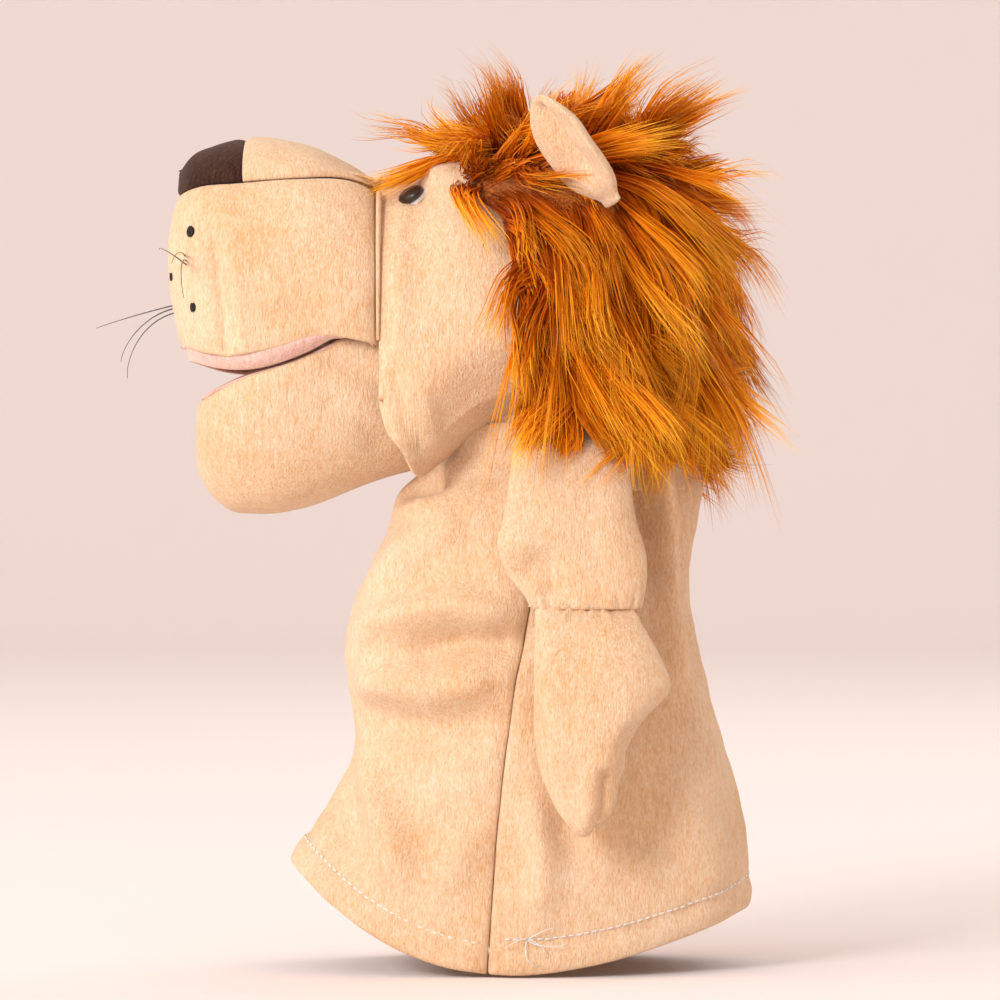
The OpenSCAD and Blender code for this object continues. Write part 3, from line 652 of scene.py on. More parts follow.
side = jaw_side()
outward = normals_of(side)
outward[0] = (-1, 0, 0)
facing = np.abs(outward[..., 1])
rise = uneven(side, 0.6, 32, 41)
rise -= 0.7 * bump(np.abs(side[..., 1]), 1.8)
ribs = np.sin(side[..., 0] * 2.35 + 0.5 * np.sin(side[..., 2] * 0.15))
rise += 0.16 * ribs * facing * ease(side[..., 2], 158, 172) * ease(-side[..., 0], 62, 72) * (
    1 - ease(-side[..., 0], 94, 102))
fold, _ = from_line(side[..., 0], side[..., 2], [(-62, 186), (-52, 180), (-47, 174)])
rise -= 1.1 * bump(fold, 3.5)
lip_fold, _ = from_line(side[..., 0], side[..., 2], [(-63, 203), (-52, 196), (-46, 192)])
rise -= 1.6 * bump(lip_fold, 3.0)
rise += 1.1 * bump(side[..., 0] + 84, 20) * facing
side = turned_in(side + outward * rise[..., None], ["low", "high"])
for name, grid in (("left_jaw_cloth", side), ("right_jaw_cloth", mirrored(side))):
    panel = thicken(mesh_piece(name, grid, material=cream))
    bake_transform(panel)
    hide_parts(name.replace("cloth", "panel"))

# ---------------------------------------------------------------------------------------------
# Mouth lining
# Thin pale pink cloth lines the mouth: one piece under the upper board, one on the jaw's board.
# The upper one is sewn to the lip by a slack strip that droops below it.
pink = velour("pink_lining", (0.66, 0.36, 0.30), (0.78, 0.50, 0.42), (0.86, 0.62, 0.53), 0.0003)


def mouth_sheet(height, crown, half_width, front, rear, rows=60, across=46):
    """A lining half: from the mouth's rear to its front, and across it."""
    turn = np.linspace(0, 1, rows)[:, None] * math.pi / 2
    x = rear + (front - rear) * np.sin(turn)
    w = np.linspace(-1, 1, across)[None, :]
    half = half_width * (1 - np.clip((x - rear) / (front - rear), 0, 1) ** 3) ** (1 / 2.8)
    y = half * w
    z = through(x, height) + crown * (1 - w**2) * np.sin(np.clip(turn * 2, 0, math.pi)) ** 0.7
    return np.stack([x + 0 * w, y, z], -1)


droop = [(-114, 201.5), (-103, 198.2), (-93, 197.4), (-73, 202.8), (-60, 209.5), (-50, 212)]
roof = [(-114, 205.4), (-103, 205.2), (-93, 205.7), (-73, 207.2), (-60, 207.8), (-50, 208.2)]
lower = [(-108, 187.6), (-93, 194.6), (-73, 201.0), (-60, 207.0), (-50, 210)]
lining_thickness = 1.2
for name, line, crown, half, front, rear, body, node, stiffener, long in [
    (
        "upper_lining_cloth", roof, 0.4, 36.0, muzzle_front + 5.2, -57,
        "head", "upper_mouth_lining", "upper_palate_board", 0.058,
    ),
    (
        "lower_lining_cloth", lower, 1.6, 32.9, jaw_front + 1.4, -61,
        "jaw", "lower_mouth_lining", "lower_palate_board", 0.052,
    ),
]:
    grid = mouth_sheet(line, crown, half, front, rear)
    lining = mesh_piece(name, grid if body == "head" else grid[:, ::-1], material=pink)
    thicken(lining, lining_thickness)
    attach(lining, body)
    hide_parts(node)

# the slack edge of the upper lining, sewn to the lip all the way round
edge_turn = np.linspace(-1, 1, 150)[:, None]
half_turn = np.abs(edge_turn)
lip_edge = muzzle_side(1 - 0.93 * half_turn[:, 0], np.zeros(len(half_turn)))
lip_edge[:, 1] *= -np.sign(edge_turn[:, 0] + 1e-9)
down = np.linspace(0, 1, 12)[None, :]
under = np.stack([through(lip_edge[:, 0], droop), lip_edge[:, 2] - 1.0], -1).min(-1)
lip_edge = lip_edge * np.array([1, 0.97, 1]) + np.array([0.9, 0, 0])
inward = lip_edge * np.array([1, 0.92, 1]) + np.array([1.8, 0, 0])
skirt = lip_edge[:, None, :] * (1 - down[..., None]) + inward[:, None, :] * down[..., None]
skirt[..., 2] = lip_edge[:, None, 2] + 1.5 + (under[:, None] - lip_edge[:, None, 2] - 1.5) * down
skirt[..., 1] *= 1 + 0.05 * (1 - (2 * down - 1) ** 2)
strip_thickness = 1.0
lip_cloth = mesh_piece("lip_lining_cloth", skirt[::-1, ::-1], material=pink)
thicken(lip_cloth, strip_thickness)
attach(lip_cloth, "head")

# ---------------------------------------------------------------------------------------------
# Arms
# Each arm is a flat tube of velour, cut in one with the body and folded down at the shoulder.
# It is gathered at the wrist, where the stuffed paw begins.
arm_rows = [                # height, front edge, back edge, thickness
    (182, 0.0, 33.2, 6.5), (178, -1.0, 34, 9), (172, -2.5, 35.5, 12.5), (160, -4.6, 37, 15),
    (148, -6.3, 38, 15.5), (136, -6.6, 40, 14.5), (128, -3.5, 40.3, 14), (122.5, 0.6, 39.9, 12.8),
    (119.5, 2.0, 39.4, 11.6)
]
arm_middle_y = [(119, -46.2), (135, -44.2), (150, -42.3), (165, -39.5), (178, -35.5), (182, -34)]


def tube(heights, fronts, backs, thicknesses, middles, around=72, square=2.5):
    """A flattened tube of cloth that hangs down, as rings from the top to the bottom."""
    angle = np.linspace(0, 2 * math.pi, around, endpoint=False)[:, None]
    c, s = np.cos(angle), np.sin(angle)
    middle, half = (fronts + backs) / 2, (backs - fronts) / 2
    x = middle + half * np.sign(c) * np.abs(c) ** (2 / square)
    y = middles + thicknesses / 2 * np.sign(s) * np.abs(s) ** (2 / square)
    return np.stack([x, y, heights + 0 * x], -1)


def by_height(rows, column, heights):
    """One column of a table of rows, read smoothly at any height."""
    return through(heights, [(row[0], row[column]) for row in sorted(rows)])


heights = np.linspace(182, 119.5, 63)
arm_shape = [by_height(arm_rows, k, heights) for k in (1, 2, 3)]
arm = tube(heights, *arm_shape, through(heights, arm_middle_y))
outward = -normals_of(arm, closed=True)
outer = ease(-outward[..., 1], 0.1, 0.6)
rise = uneven(arm, 0.7, 26, 51)
elbow, _ = from_line(arm[..., 0], arm[..., 2], [(2, 131), (8, 134), (10, 127)])
rise -= 3.0 * bump(elbow, 5.5) * outer
fold, _ = from_line(arm[..., 0], arm[..., 2], [(-4, 142), (8, 141), (16, 133)])
rise += 1.6 * bump(fold, 5) * outer
fold, _ = from_line(arm[..., 0], arm[..., 2], [(24, 172), (30, 160), (31, 140)])
rise += 1.2 * bump(fold, 6) * outer
gather = bump(arm[..., 2] - 120.5, 3.6)
angle = np.linspace(0, 2 * math.pi, arm.shape[0], endpoint=False)[:, None]
rise -= gather * (0.4 + 0.5 * np.sin(angle * 17) + 0.35 * np.sin(angle * 29 + 1))
seam = np.minimum(np.abs(arm[..., 0] - arm[..., 0].min(0)), 9)
rise -= 0.8 * bump(seam, 1.2) * bump(np.abs(outward[..., 1]), 0.5)
arm = arm + outward * rise[..., None]

for name, grid in (("left_arm_cloth", arm), ("right_arm_cloth", mirrored(arm))):
    sleeve = mesh_piece(name, grid[::-1], closed=True, material=cream)
    thicken(sleeve, 1.8)
    prefix = name.split("_")[0]
    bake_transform(sleeve)
    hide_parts(prefix + "_arm_sleeve")

# ---------------------------------------------------------------------------------------------
# Paws
# Each paw is a mitten of two velour pieces stuffed with fibre, broad at the thumb and narrow at
# the tip, where one short stitched dent marks the toes. The stuffing is swelled by simulation.
paw_rows = [                # height, front edge, back edge, thickness
    (122, 4, 38, 7), (119, 2.9, 39.4, 11.4), (114, 2.4, 41.6, 15.6), (108, 2.2, 45.3, 18.4),
    (100, 2.3, 49.3, 20.5), (93, 2.5, 50, 21.5), (86, 2.7, 44.6, 22), (78, 3.0, 38.6, 21.5),
    (70, 4.0, 35.6, 20.5), (62, 6.6, 33, 18.5), (55, 9.8, 30.8, 16), (49.5, 13.8, 27.6, 11.5),
    (46.5, 17.2, 24.2, 6.5), (45.6, 19.2, 22.4, 3)
]
paw_middle_y = [(45, -56.2), (60, -54), (80, -51.8), (100, -50), (112, -48.4), (122, -46.8)]
paw_top, paw_tip = 122, 45.6


def paw_grid(around=56, upward=64, shrink=1.0):
    """Rings of the unstuffed paw on the -Y side, closer together at the wrist and the tip."""
    t = np.linspace(0, 1, upward)
    levels = paw_top - (paw_top - paw_tip) * (0.5 - 0.5 * np.cos(t * math.pi)) ** 0.94
    front, back, thick = (by_height(paw_rows, k, levels) for k in (1, 2, 3))
    return tube(levels, front + shrink, back - shrink, thick - 2 * shrink,
                through(levels, paw_middle_y), around, square=2.15)


def swell(piece, voxel, pressure=4, cap=3.0, frames=20):
    """Fills a stuffed piece: cloth under pressure from inside, each point moving at most cap."""
    fine = piece.modifiers.new("even", "REMESH")
    fine.mode, fine.voxel_size, fine.use_smooth_shade = "VOXEL", voxel * mm, True
    settle(piece)
    before = np.array([v.co for v in piece.data.vertices])
    skin = piece.modifiers.new("skin", "CLOTH")
    skin.settings.use_pressure = True
    skin.settings.uniform_pressure_force = pressure
    skin.settings.effector_weights.gravity = 0
    skin.point_cache.frame_start, skin.point_cache.frame_end = 1, frames
    for frame_number in range(1, frames + 1):
        bpy.context.scene.frame_set(frame_number)
    settle(piece)
    bpy.context.scene.frame_set(1)
    after = np.array([v.co for v in piece.data.vertices])
    move = after - before
    length = np.linalg.norm(move, axis=1, keepdims=True)
    after = before + move * np.minimum(1, cap * mm / np.maximum(length, 1e-9))
    piece.data.vertices.foreach_set("co", after.ravel())
    smooth = piece.modifiers.new("smooth", "SUBSURF")
    smooth.levels = smooth.render_levels = 1
    settle(piece)
    piece.data.shade_smooth()
    return np.array([v.co for v in piece.data.vertices]) / mm


def press(piece, rise):
    """Moves each point of a piece along its normal by a height in millimetres."""
    normals = np.array([v.normal for v in piece.data.vertices])
    points = np.array([v.co for v in piece.data.vertices]) + normals * rise[:, None] * mm
    piece.data.vertices.foreach_set("co", points.ravel())
    piece.data.update()


for side, sign in (("left", 1), ("right", -1)):
    grid = paw_grid() if sign > 0 else mirrored(paw_grid())
    paw = closed_piece(side + "_paw_cloth", grid, cream)
    points = swell(paw, 2.4, cap=1.6)
    paw.data.materials.clear()
    paw.data.materials.append(cream)
    x, y, z = points.T
    outer = ease(-y * sign, 50, 57)
    rise = uneven(points, 0.35, 20, 52)
    toe, _ = from_line(x, z, [(27.5, 66), (26.5, 56), (25, 47)])
    rise -= 2.4 * bump(toe, 2.1)
    rise += 1.0 * bump(toe - 5, 3)
    edge = np.abs(y * sign - through(z, paw_middle_y))
    rise -= 0.9 * bump(edge, 1.1)
    palm, _ = from_line(x, z, [(18, 108), (10, 112)])
    rise -= 1.2 * bump(palm, 6) * outer
    around = np.arctan2(y * sign - through(z, paw_middle_y), x - 21)
    rise -= bump(z - 120.5, 4) * (0.4 + 0.6 * np.sin(around * 13) + 0.4 * np.sin(around * 23))
    press(paw, rise)
    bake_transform(paw)
    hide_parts(side + "_paw_shell")

# ---------------------------------------------------------------------------------------------
# Ears
# Each ear is two velour leaves sewn round the edge and turned, a little cupped, with a crease
# down its middle and its base pinched into the seam of the mane.
ear_base = np.array([30.5, -52.5, 250.5])
ear_along = np.array([-0.620, -0.120, 0.775])
ear_across = np.array([0.4644, -0.8526, 0.2395])
ear_along /= np.linalg.norm(ear_along)
ear_across /= np.linalg.norm(ear_across)
ear_front = np.cross(ear_along, ear_across)
ear_length, ear_width, ear_thick = 43, 26.5, 5.4

lengthwise = np.linspace(0, 1, 42)[None, :]
turn = np.linspace(0, 2 * math.pi, 56, endpoint=False)[:, None]
reach = np.sin(lengthwise * math.pi / 2)
wide = ear_width / 2 * np.sqrt(np.maximum(1 - np.clip((reach - 0.52) / 0.48, -0.93, 1) ** 2, 0.0))
across = wide * np.cos(turn)
puff = ear_thick / 2 * np.abs(np.sin(turn)) ** 0.8 * np.sign(np.sin(turn)) * np.sqrt(
    np.maximum(1 - reach**6, 0.0)) * np.minimum(wide / 9, 1)
cup = -4.6 * (across / (ear_width / 2)) ** 2 + 3.0 * np.sin(reach * math.pi * 0.8)
crease = 3.4 * bump(across + 1.0, 2.0) * ease(reach, 0.15, 0.4) * (1 - ease(reach, 0.86, 0.98))
front_side = puff < 0
depth = puff + cup + crease * np.where(front_side, 1, 0.3)
ear = (
    ear_base
    + (ear_length * reach + 0 * across)[..., None] * ear_along
    + across[..., None] * ear_across
    + depth[..., None] * ear_front
)
ear = ear + 0.3 * uneven(ear, 1.0, 12, 61)[..., None] * ear_front
for side, grid in (("left", ear), ("right", mirrored(ear))):
    leaf = closed_piece(side + "_ear_cloth", grid, cream)
    smooth = leaf.modifiers.new("smooth", "SUBSURF")
    smooth.levels = smooth.render_levels = 1
    settle(leaf)
    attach(leaf, side + "_ear")
    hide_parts(side + "_ear_front", side + "_ear_back")

# ---------------------------------------------------------------------------------------------
# Eyes
# A dark plastic safety eye sits in the hollow under each brow, its shank locked by a washer
# behind the cloth. The eye is a low oval dome with a satin gloss and a thin rim.
eye_long, eye_high = 6.0, 4.4   # half lengths of the oval
eye_sunk = 1.0              # how far its shank pulls it into the cloth
eye_look = np.array([-0.56, -0.26, 0.78])
eye_look /= np.linalg.norm(eye_look)
eye_level = np.cross(eye_look, (0, 0, 1))
eye_level /= np.linalg.norm(eye_level)
eye_up = np.cross(eye_level, eye_look)
eye_paint, tree, shader = finish_named("eye_plastic", (0.018, 0.009, 0.007), 0.28)
place = tie(tree, "ShaderNodeTexCoord").outputs["Object"]
iris = tie(tree, "ShaderNodeTexNoise", {"Vector": place, "Scale": 420, "Detail": 2}).outputs["Fac"]
iris_ramp = tie(tree, "ShaderNodeValToRGB", {"Fac": iris})
iris_ramp.color_ramp.elements[0].color = (0.010, 0.005, 0.004, 1)
iris_ramp.color_ramp.elements[1].color = (0.045, 0.020, 0.012, 1)
tree.links.new(iris_ramp.outputs["Color"], shader.inputs["Base Color"])

ring = np.linspace(0, 2 * math.pi, 48, endpoint=False)[:, None]
# radius share and height of the dome's profile, from the shank's end up over the rim to the top
eye_profile = [(0.16, -7), (0.2, -6.8), (0.2, -1.6), (0.5, -1.4), (0.93, -1.2), (1.0, -0.6), (1.0, 0.0),
               (0.97, 0.4), (0.90, 0.8), (0.76, 1.3), (0.56, 1.7), (0.34, 1.95), (0.12, 2.05)]
radii = np.array([r for r, _ in eye_profile])[None, :]
lifts = np.array([h for _, h in eye_profile])[None, :]
eye = (
    eye_place
    + (eye_long * radii * np.cos(ring))[..., None] * eye_level
    + (eye_high * radii * np.sin(ring))[..., None] * eye_up
    + (lifts + 0 * ring)[..., None] * eye_look
)
eye = eye - eye_sunk * eye_look
for side, grid in (("left", eye), ("right", mirrored(eye))):
    dome = closed_piece(side + "_eye_dome", grid, eye_paint)
    smooth = dome.modifiers.new("smooth", "SUBSURF")
    smooth.levels = smooth.render_levels = 1
    settle(dome)
    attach(dome, "head")
    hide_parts(side + "_eye")

# ---------------------------------------------------------------------------------------------
# Mane
# The mane is long-pile fur fabric in three panels, left, right and back. Its golden fibres are
# painted darker toward the root as painted shade deep in the pile, gather into locks, lie back
# and down, and stand up in tufts on the crown.
mane_middle = (18, 0)
mane_low, mane_high = 172, 276
side_reach = 0.55           # how much of their sideways lean the fibres keep
ear_foot = np.array([26, 50, 256])
mane_profile = [            # height share, half width, back reach, front reach
    (0, 47, 37, 60), (0.2, 50, 39, 60), (0.45, 52, 40, 60), (0.62, 51.5, 39, 60),
    (0.78, 46, 36, 57), (0.9, 33, 28, 43), (0.97, 18, 18, 25), (1.0, 3, 4, 4)
]
face_edge = [
    (0, 110), (0.5, 111), (0.62, 114), (0.74, 121), (0.83, 140), (0.9, 165), (0.94, 180), (1, 180)
]


def mane_skin(first, last, around=70, upward=60):
    """The fur's backing on the -Y side, from the last angle to the first: 180 in front, 0 behind."""
    share = np.linspace(0, 1, upward)[None, :] ** 0.85
    half, back, front = (
        through(share, [(row[0], row[k]) for row in mane_profile]) for k in (1, 2, 3)
    )
    edge = through(share, face_edge)
    q = np.linspace(0, 1, around)[:, None]
    angle = np.radians(np.minimum(first + (last - first) * q, 180) * np.where(last > 100, edge / 180, 1))
    reach = back + (front - back) * ease(np.degrees(angle), 60, 140)
    x = mane_middle[0] + reach * np.cos(angle)
    y = -half * np.sin(angle)
    low = mane_low + 8 * ease(np.degrees(angle), 35, 75)
    z = low + (mane_high - low) * share
    return np.stack([x, y, z], -1)[::-1]


def combed(points, outward):
    """Which way the fibres set off and which way they then fall, in millimetres of their length."""
    x, y, z = np.moveaxis(points, -1, 0)
    back = np.clip((x - 4) / 70, -0.25, 1)
    crown = ease(z, 250, 276)
    brow = crown * ease(-x, -12, 12)
    rearward = 0.10 + 0.42 * np.sin(np.clip(back, 0, 1) * 2.6)
    way = np.stack([rearward, 0.04 * np.sign(y), -1.0 + 0 * x], -1)
    temple = ease(z, 225, 245) * ease(-x, -16, 2) * (1 - crown)
    way += temple[..., None] * np.array([0.60, 0, 0.20])
    rim = ease(-x, -9, -1) * (1 - ease(z, 232, 250))
    way += rim[..., None] * np.array([-0.42, 0, 0])
    way += crown[..., None] * np.stack([0.55 - 1.7 * brow, 0.2 * np.sign(y), 1.1 + 0 * x], -1)
    lift = 0.28 + 0.70 * crown - 0.04 * ease(back, 0.5, 1) * (1 - crown)
    way = way / np.linalg.norm(way, axis=-1, keepdims=True)
    way = way - outward * np.minimum((way * outward).sum(-1, keepdims=True), 0)
    way = way / np.linalg.norm(way, axis=-1, keepdims=True)
    start = way * (1 - 0.2 * crown[..., None]) + outward * lift[..., None]
    start = start / np.linalg.norm(start, axis=-1, keepdims=True)
    start[..., 1] *= side_reach
    long = 43 - 17 * crown - 14 * ease(-x, -10, 8) * (1 - crown)
    long = long * (0.30 + 0.70 * ease(z, 174, 222)) * (1 - 0.18 * ease(back, 0.4, 0.8))
    fall = way * 0.30 - outward * (0.24 + 0.16 * ease(back, 0.3, 0.8))[..., None]
    fall[..., 2] -= 0.22 * (1 - crown)
    fall += crown[..., None] * outward * 0.12
    either_side = np.stack([x, np.abs(y), z], -1)
    from_ear = np.linalg.norm(either_side - ear_foot, axis=-1)
    long = long * (0.8 + 0.2 * ease(from_ear, 4, 16))
    return start * (long * 0.8)[..., None], fall * long[..., None]


def fur_tree():
    """Ribbon fibres scattered over a skin: each leans with its lock and narrows to its tip."""
    tree = bpy.data.node_groups.new("mane_fur", "GeometryNodeTree")
    face = tree.interface
    face.new_socket("Skin", in_out="INPUT", socket_type="NodeSocketGeometry")
    for name, kind in [
        ("Fibres per area", "NodeSocketFloat"), ("Locks per area", "NodeSocketFloat"),
        ("Fibre width", "NodeSocketFloat"), ("Gathering", "NodeSocketFloat"),
        ("Stray", "NodeSocketFloat"), ("Steps", "NodeSocketInt"), ("Seed", "NodeSocketInt"),
        ("Finish", "NodeSocketMaterial"),
    ]:
        face.new_socket(name, in_out="INPUT", socket_type=kind)
    face.new_socket("Fur", in_out="OUTPUT", socket_type="NodeSocketGeometry")
    given = tie(tree, "NodeGroupInput").outputs

    def number(operation, *values):
        return tie(tree, "ShaderNodeMath", dict(enumerate(values)), operation=operation).outputs[0]

    def vector(operation, *values, scale=None):
        ins = dict(enumerate(values))
        if scale is not None:
            ins["Scale"] = scale
        made = tie(tree, "ShaderNodeVectorMath", ins, operation=operation)
        return made.outputs["Value" if operation in ("LENGTH", "DOT_PRODUCT") else "Vector"]

    def read(name, kind="FLOAT_VECTOR"):
        return tie(tree, "GeometryNodeInputNamedAttribute", {"Name": name}, data_type=kind).outputs[0]

    def store(geometry, name, value, kind="FLOAT_VECTOR", domain="POINT"):
        return tie(tree, "GeometryNodeStoreNamedAttribute",
                   {"Geometry": geometry, "Name": name, "Value": value},
                   data_type=kind, domain=domain).outputs[0]

    def chance(low, high, seed):
        made = tie(tree, "FunctionNodeRandomValue", {"Seed": number("ADD", given["Seed"], seed)},
                   data_type="FLOAT")
        made.inputs[2].default_value, made.inputs[3].default_value = low, high
        return made.outputs[1]

    def chance_way(seed):
        made = tie(tree, "FunctionNodeRandomValue", {"Seed": number("ADD", given["Seed"], seed)},
                   data_type="FLOAT_VECTOR")
        made.inputs[0].default_value, made.inputs[1].default_value = (-1, -1, -1), (1, 1, 1)
        return made.outputs[0]

    place = tie(tree, "GeometryNodeInputPosition").outputs[0]
    locks = tie(tree, "GeometryNodeDistributePointsOnFaces",
                {"Mesh": given["Skin"], "Density": given["Locks per area"],
                 "Seed": number("ADD", given["Seed"], 1)}).outputs["Points"]
    longer = chance(0.72, 1.18, 2)
    turned = vector("SCALE", chance_way(3), scale=0.0125)
    locks = store(locks, "set_off", vector("ADD", vector("SCALE", read("comb"), scale=longer), turned))
    bend = vector("SCALE", chance_way(4), scale=0.012)
    locks = store(locks, "bend", vector("ADD", vector("SCALE", read("fall"), scale=longer), bend))
    locks = store(locks, "curl", vector("SCALE", chance_way(5), scale=0.0046))
    locks = store(locks, "tone", chance(0, 1, 6), "FLOAT")

    fibres = tie(tree, "GeometryNodeDistributePointsOnFaces",
                 {"Mesh": given["Skin"], "Density": given["Fibres per area"],
                  "Seed": given["Seed"]}).outputs["Points"]
    jitter = vector("SCALE", chance_way(7), scale=0.0016)
    nearest = tie(tree, "GeometryNodeSampleNearest",
                  {"Geometry": locks, "Sample Position": vector("ADD", place, jitter)},
                  domain="POINT").outputs[0]

    def of_lock(value, kind="FLOAT_VECTOR"):
        made = tie(tree, "GeometryNodeSampleIndex",
                   {"Geometry": locks, "Value": value, "Index": nearest},
                   data_type=kind, domain="POINT")
        return made.outputs[0]

    fibres = store(fibres, "root", place)
    fibres = store(fibres, "lock_root", of_lock(place))
    fibres = store(fibres, "lock_set_off", of_lock(read("set_off")))
    fibres = store(fibres, "lock_bend", of_lock(read("bend")))
    fibres = store(fibres, "lock_curl", of_lock(read("curl")))
    fibres = store(fibres, "lock_tone", of_lock(read("tone", "FLOAT"), "FLOAT"), "FLOAT")
    fibres = store(fibres, "stray", vector("SCALE", chance_way(8), scale=given["Stray"]))
    fibres = store(fibres, "facing", chance_way(9))
    fibres = store(fibres, "own_length", chance(0.62, 1.04, 10), "FLOAT")
    fibres = store(fibres, "own_tone", chance(0, 1, 11), "FLOAT")

    blade = tie(tree, "GeometryNodeMeshGrid", {"Size X": 1.0, "Size Y": 1.0, "Vertices X": 2,
                                               "Vertices Y": given["Steps"]})
    blade = store(blade.outputs["Mesh"], "blade", vector("ADD", place, (0.0, 0.5, 0.0)))
    placed = tie(tree, "GeometryNodeInstanceOnPoints", {"Points": fibres, "Instance": blade}).outputs[0]
    fur = tie(tree, "GeometryNodeRealizeInstances", {"Geometry": placed}).outputs[0]

    parts = tie(tree, "ShaderNodeSeparateXYZ", {0: read("blade")}).outputs
    t = number("MULTIPLY", parts["Y"], read("own_length", "FLOAT"))
    t2 = number("MULTIPLY", t, t)
    path = vector("ADD", vector("SCALE", read("lock_set_off"), scale=t),
                  vector("SCALE", read("lock_bend"), scale=t2))
    wave = number("SINE", number("ADD", number("MULTIPLY", t, 6.5),
                                 number("MULTIPLY", read("lock_tone", "FLOAT"), 20.0)))
    path = vector("ADD", path, vector("SCALE", read("lock_curl"), scale=number("MULTIPLY", wave, t)))
    path = vector("ADD", path, vector("SCALE", read("stray"), scale=number("POWER", t, 1.4)))
    off = vector("SUBTRACT", read("root"), read("lock_root"))
    pull = number("MULTIPLY", given["Gathering"], number("POWER", t, 0.7))
    spread = vector("SCALE", off, scale=number("SUBTRACT", 1.0, pull))
    line = vector("ADD", vector("ADD", read("lock_root"), spread), path)
    across = vector("NORMALIZE", vector("CROSS_PRODUCT", read("facing"), read("lock_set_off")))
    narrow = number("SUBTRACT", 1.0, number("POWER", parts["Y"], 2.5))
    narrow = number("MAXIMUM", narrow, 0.03)
    width = number("MULTIPLY", number("MULTIPLY", parts["X"], given["Fibre width"]), narrow)
    spot = vector("ADD", line, vector("SCALE", across, scale=width))
    fur = tie(tree, "GeometryNodeSetPosition", {"Geometry": fur, "Position": spot}).outputs[0]
    tone = number("ADD", number("MULTIPLY", read("lock_tone", "FLOAT"), 0.62),
                  number("MULTIPLY", read("own_tone", "FLOAT"), 0.38))
    swatch = tie(tree, "ShaderNodeCombineXYZ", {0: tone, 1: parts["Y"]}).outputs[0]
    fur = store(fur, "OFBake", swatch, "FLOAT2", "CORNER")
    for name in ("root", "lock_root", "lock_set_off", "lock_bend", "lock_curl", "lock_tone", "stray",
                 "facing", "own_length", "own_tone", "blade", "comb", "fall"):
        fur = tie(tree, "GeometryNodeRemoveAttribute", {"Geometry": fur, "Name": name}).outputs[0]
    fur = tie(tree, "GeometryNodeSetMaterial", {"Geometry": fur, "Material": given["Finish"]}).outputs[0]
    out = tree.nodes.new("NodeGroupOutput")
    tree.links.new(fur, out.inputs[0])
    return tree


fur_paint, tree, shader = finish_named("mane_fur", (0.6, 0.25, 0.03), 0.38)
shader.inputs["Specular IOR Level"].default_value = 0.35
shader.inputs["Specular Tint"].default_value = (1.0, 0.62, 0.22, 1)
swatch = tie(tree, "ShaderNodeUVMap", uv_map="OFBake").outputs["UV"]
tone, up, _ = tie(tree, "ShaderNodeSeparateXYZ", {0: swatch}).outputs
# painted shade: the dark stops at the root stand for the shade deep in the pile; the golden tip is the fur's
# own colour
shaded_root_to_tip = tie(tree, "ShaderNodeValToRGB", {"Fac": up})
stops = shaded_root_to_tip.color_ramp.elements
stops[0].position, stops[0].color = 0.0, (0.26, 0.040, 0.001, 1)
stops[1].position, stops[1].color = 1.0, (0.98, 0.56, 0.045, 1)
stops.new(0.30).color = (0.64, 0.135, 0.002, 1)
stops.new(0.65).color = (0.92, 0.31, 0.004, 1)
darker = tie(tree, "ShaderNodeValToRGB", {"Fac": tone})
darker.color_ramp.elements[0].position = 0.15
darker.color_ramp.elements[0].color = (0.55, 0.32, 0.16, 1)
darker.color_ramp.elements[1].position = 0.8
darker.color_ramp.elements[1].color = (1.15, 1.15, 1.1, 1)
mixed = tie(tree, "ShaderNodeMix", {0: 1.0, 6: shaded_root_to_tip.outputs["Color"], 7: darker.outputs["Color"]},
            data_type="RGBA", blend_type="MULTIPLY")
tree.links.new(mixed.outputs[2], shader.inputs["Base Color"])

backing_paint = velour("fur_backing", (0.20, 0.040, 0.003), (0.34, 0.080, 0.005), (0.48, 0.14, 0.01))
fur_nodes = fur_tree()


def grow(name, grid, seed, fibres=1.75e6, locks=2.6e4, width=0.00055, gather=0.62, stray=0.0055, steps=8):
    """Covers a skin with fur as one plain mesh."""
    skin = mesh_piece(name + "_skin", grid)
    outward = np.array([v.normal for v in skin.data.vertices])
    start, fall = combed(grid.reshape(-1, 3), outward)
    for key, value in (("comb", start), ("fall", fall)):
        field = skin.data.attributes.new(key, "FLOAT_VECTOR", "POINT")
        field.data.foreach_set("vector", (value * mm).astype(np.float32).ravel())
    fur = skin.modifiers.new("fur", "NODES")
    fur.node_group = fur_nodes
    share = 1.0
    settings = {
        "Fibres per area": fibres * share, "Locks per area": locks, "Fibre width": width, "Gathering": gather,
        "Stray": stray, "Steps": steps, "Seed": seed, "Finish": fur_paint,
    }
    for item in fur_nodes.interface.items_tree:
        if item.item_type == "SOCKET" and item.in_out == "INPUT" and item.name in settings:
            fur[item.identifier] = settings[item.name]
    settle(skin)
    skin.name = name
    skin.data.name = name
    return skin


left_skin = mane_skin(14, 180)
back_half = mane_skin(0, 14, around=14)
back_skin = np.concatenate([back_half, mirrored(back_half)[1:]])
split = 30
for name, skin, seed in [
    ("left_mane", left_skin, 1), ("right_mane", mirrored(left_skin), 2), ("back_mane", back_skin, 3)
]:
    backing = mesh_piece(name + "_backing", skin, material=backing_paint)
    thicken(backing, 2.0)
    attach(backing, "head")
    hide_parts(name + "_panel")
    if name == "back_mane":
        parts = [("_fur", skin)]
    elif name == "left_mane":
        parts = [("_fur_front", skin[:split + 1]), ("_fur_rear", skin[split:])]
    else:
        parts = [("_fur_front", skin[-split - 1:]), ("_fur_rear", skin[:-split])]
    for suffix, grid in parts:
        fur = grow(name + suffix, grid, seed)
        seed += 10
        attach(fur, "head")

# ---------------------------------------------------------------------------------------------
# Stitching
# The hem is held by one row of white lockstitch and each wrist by a gathering row of cream
# thread. The hem's thread ends were left hanging beside the side seam.
thread_radius = 0.32


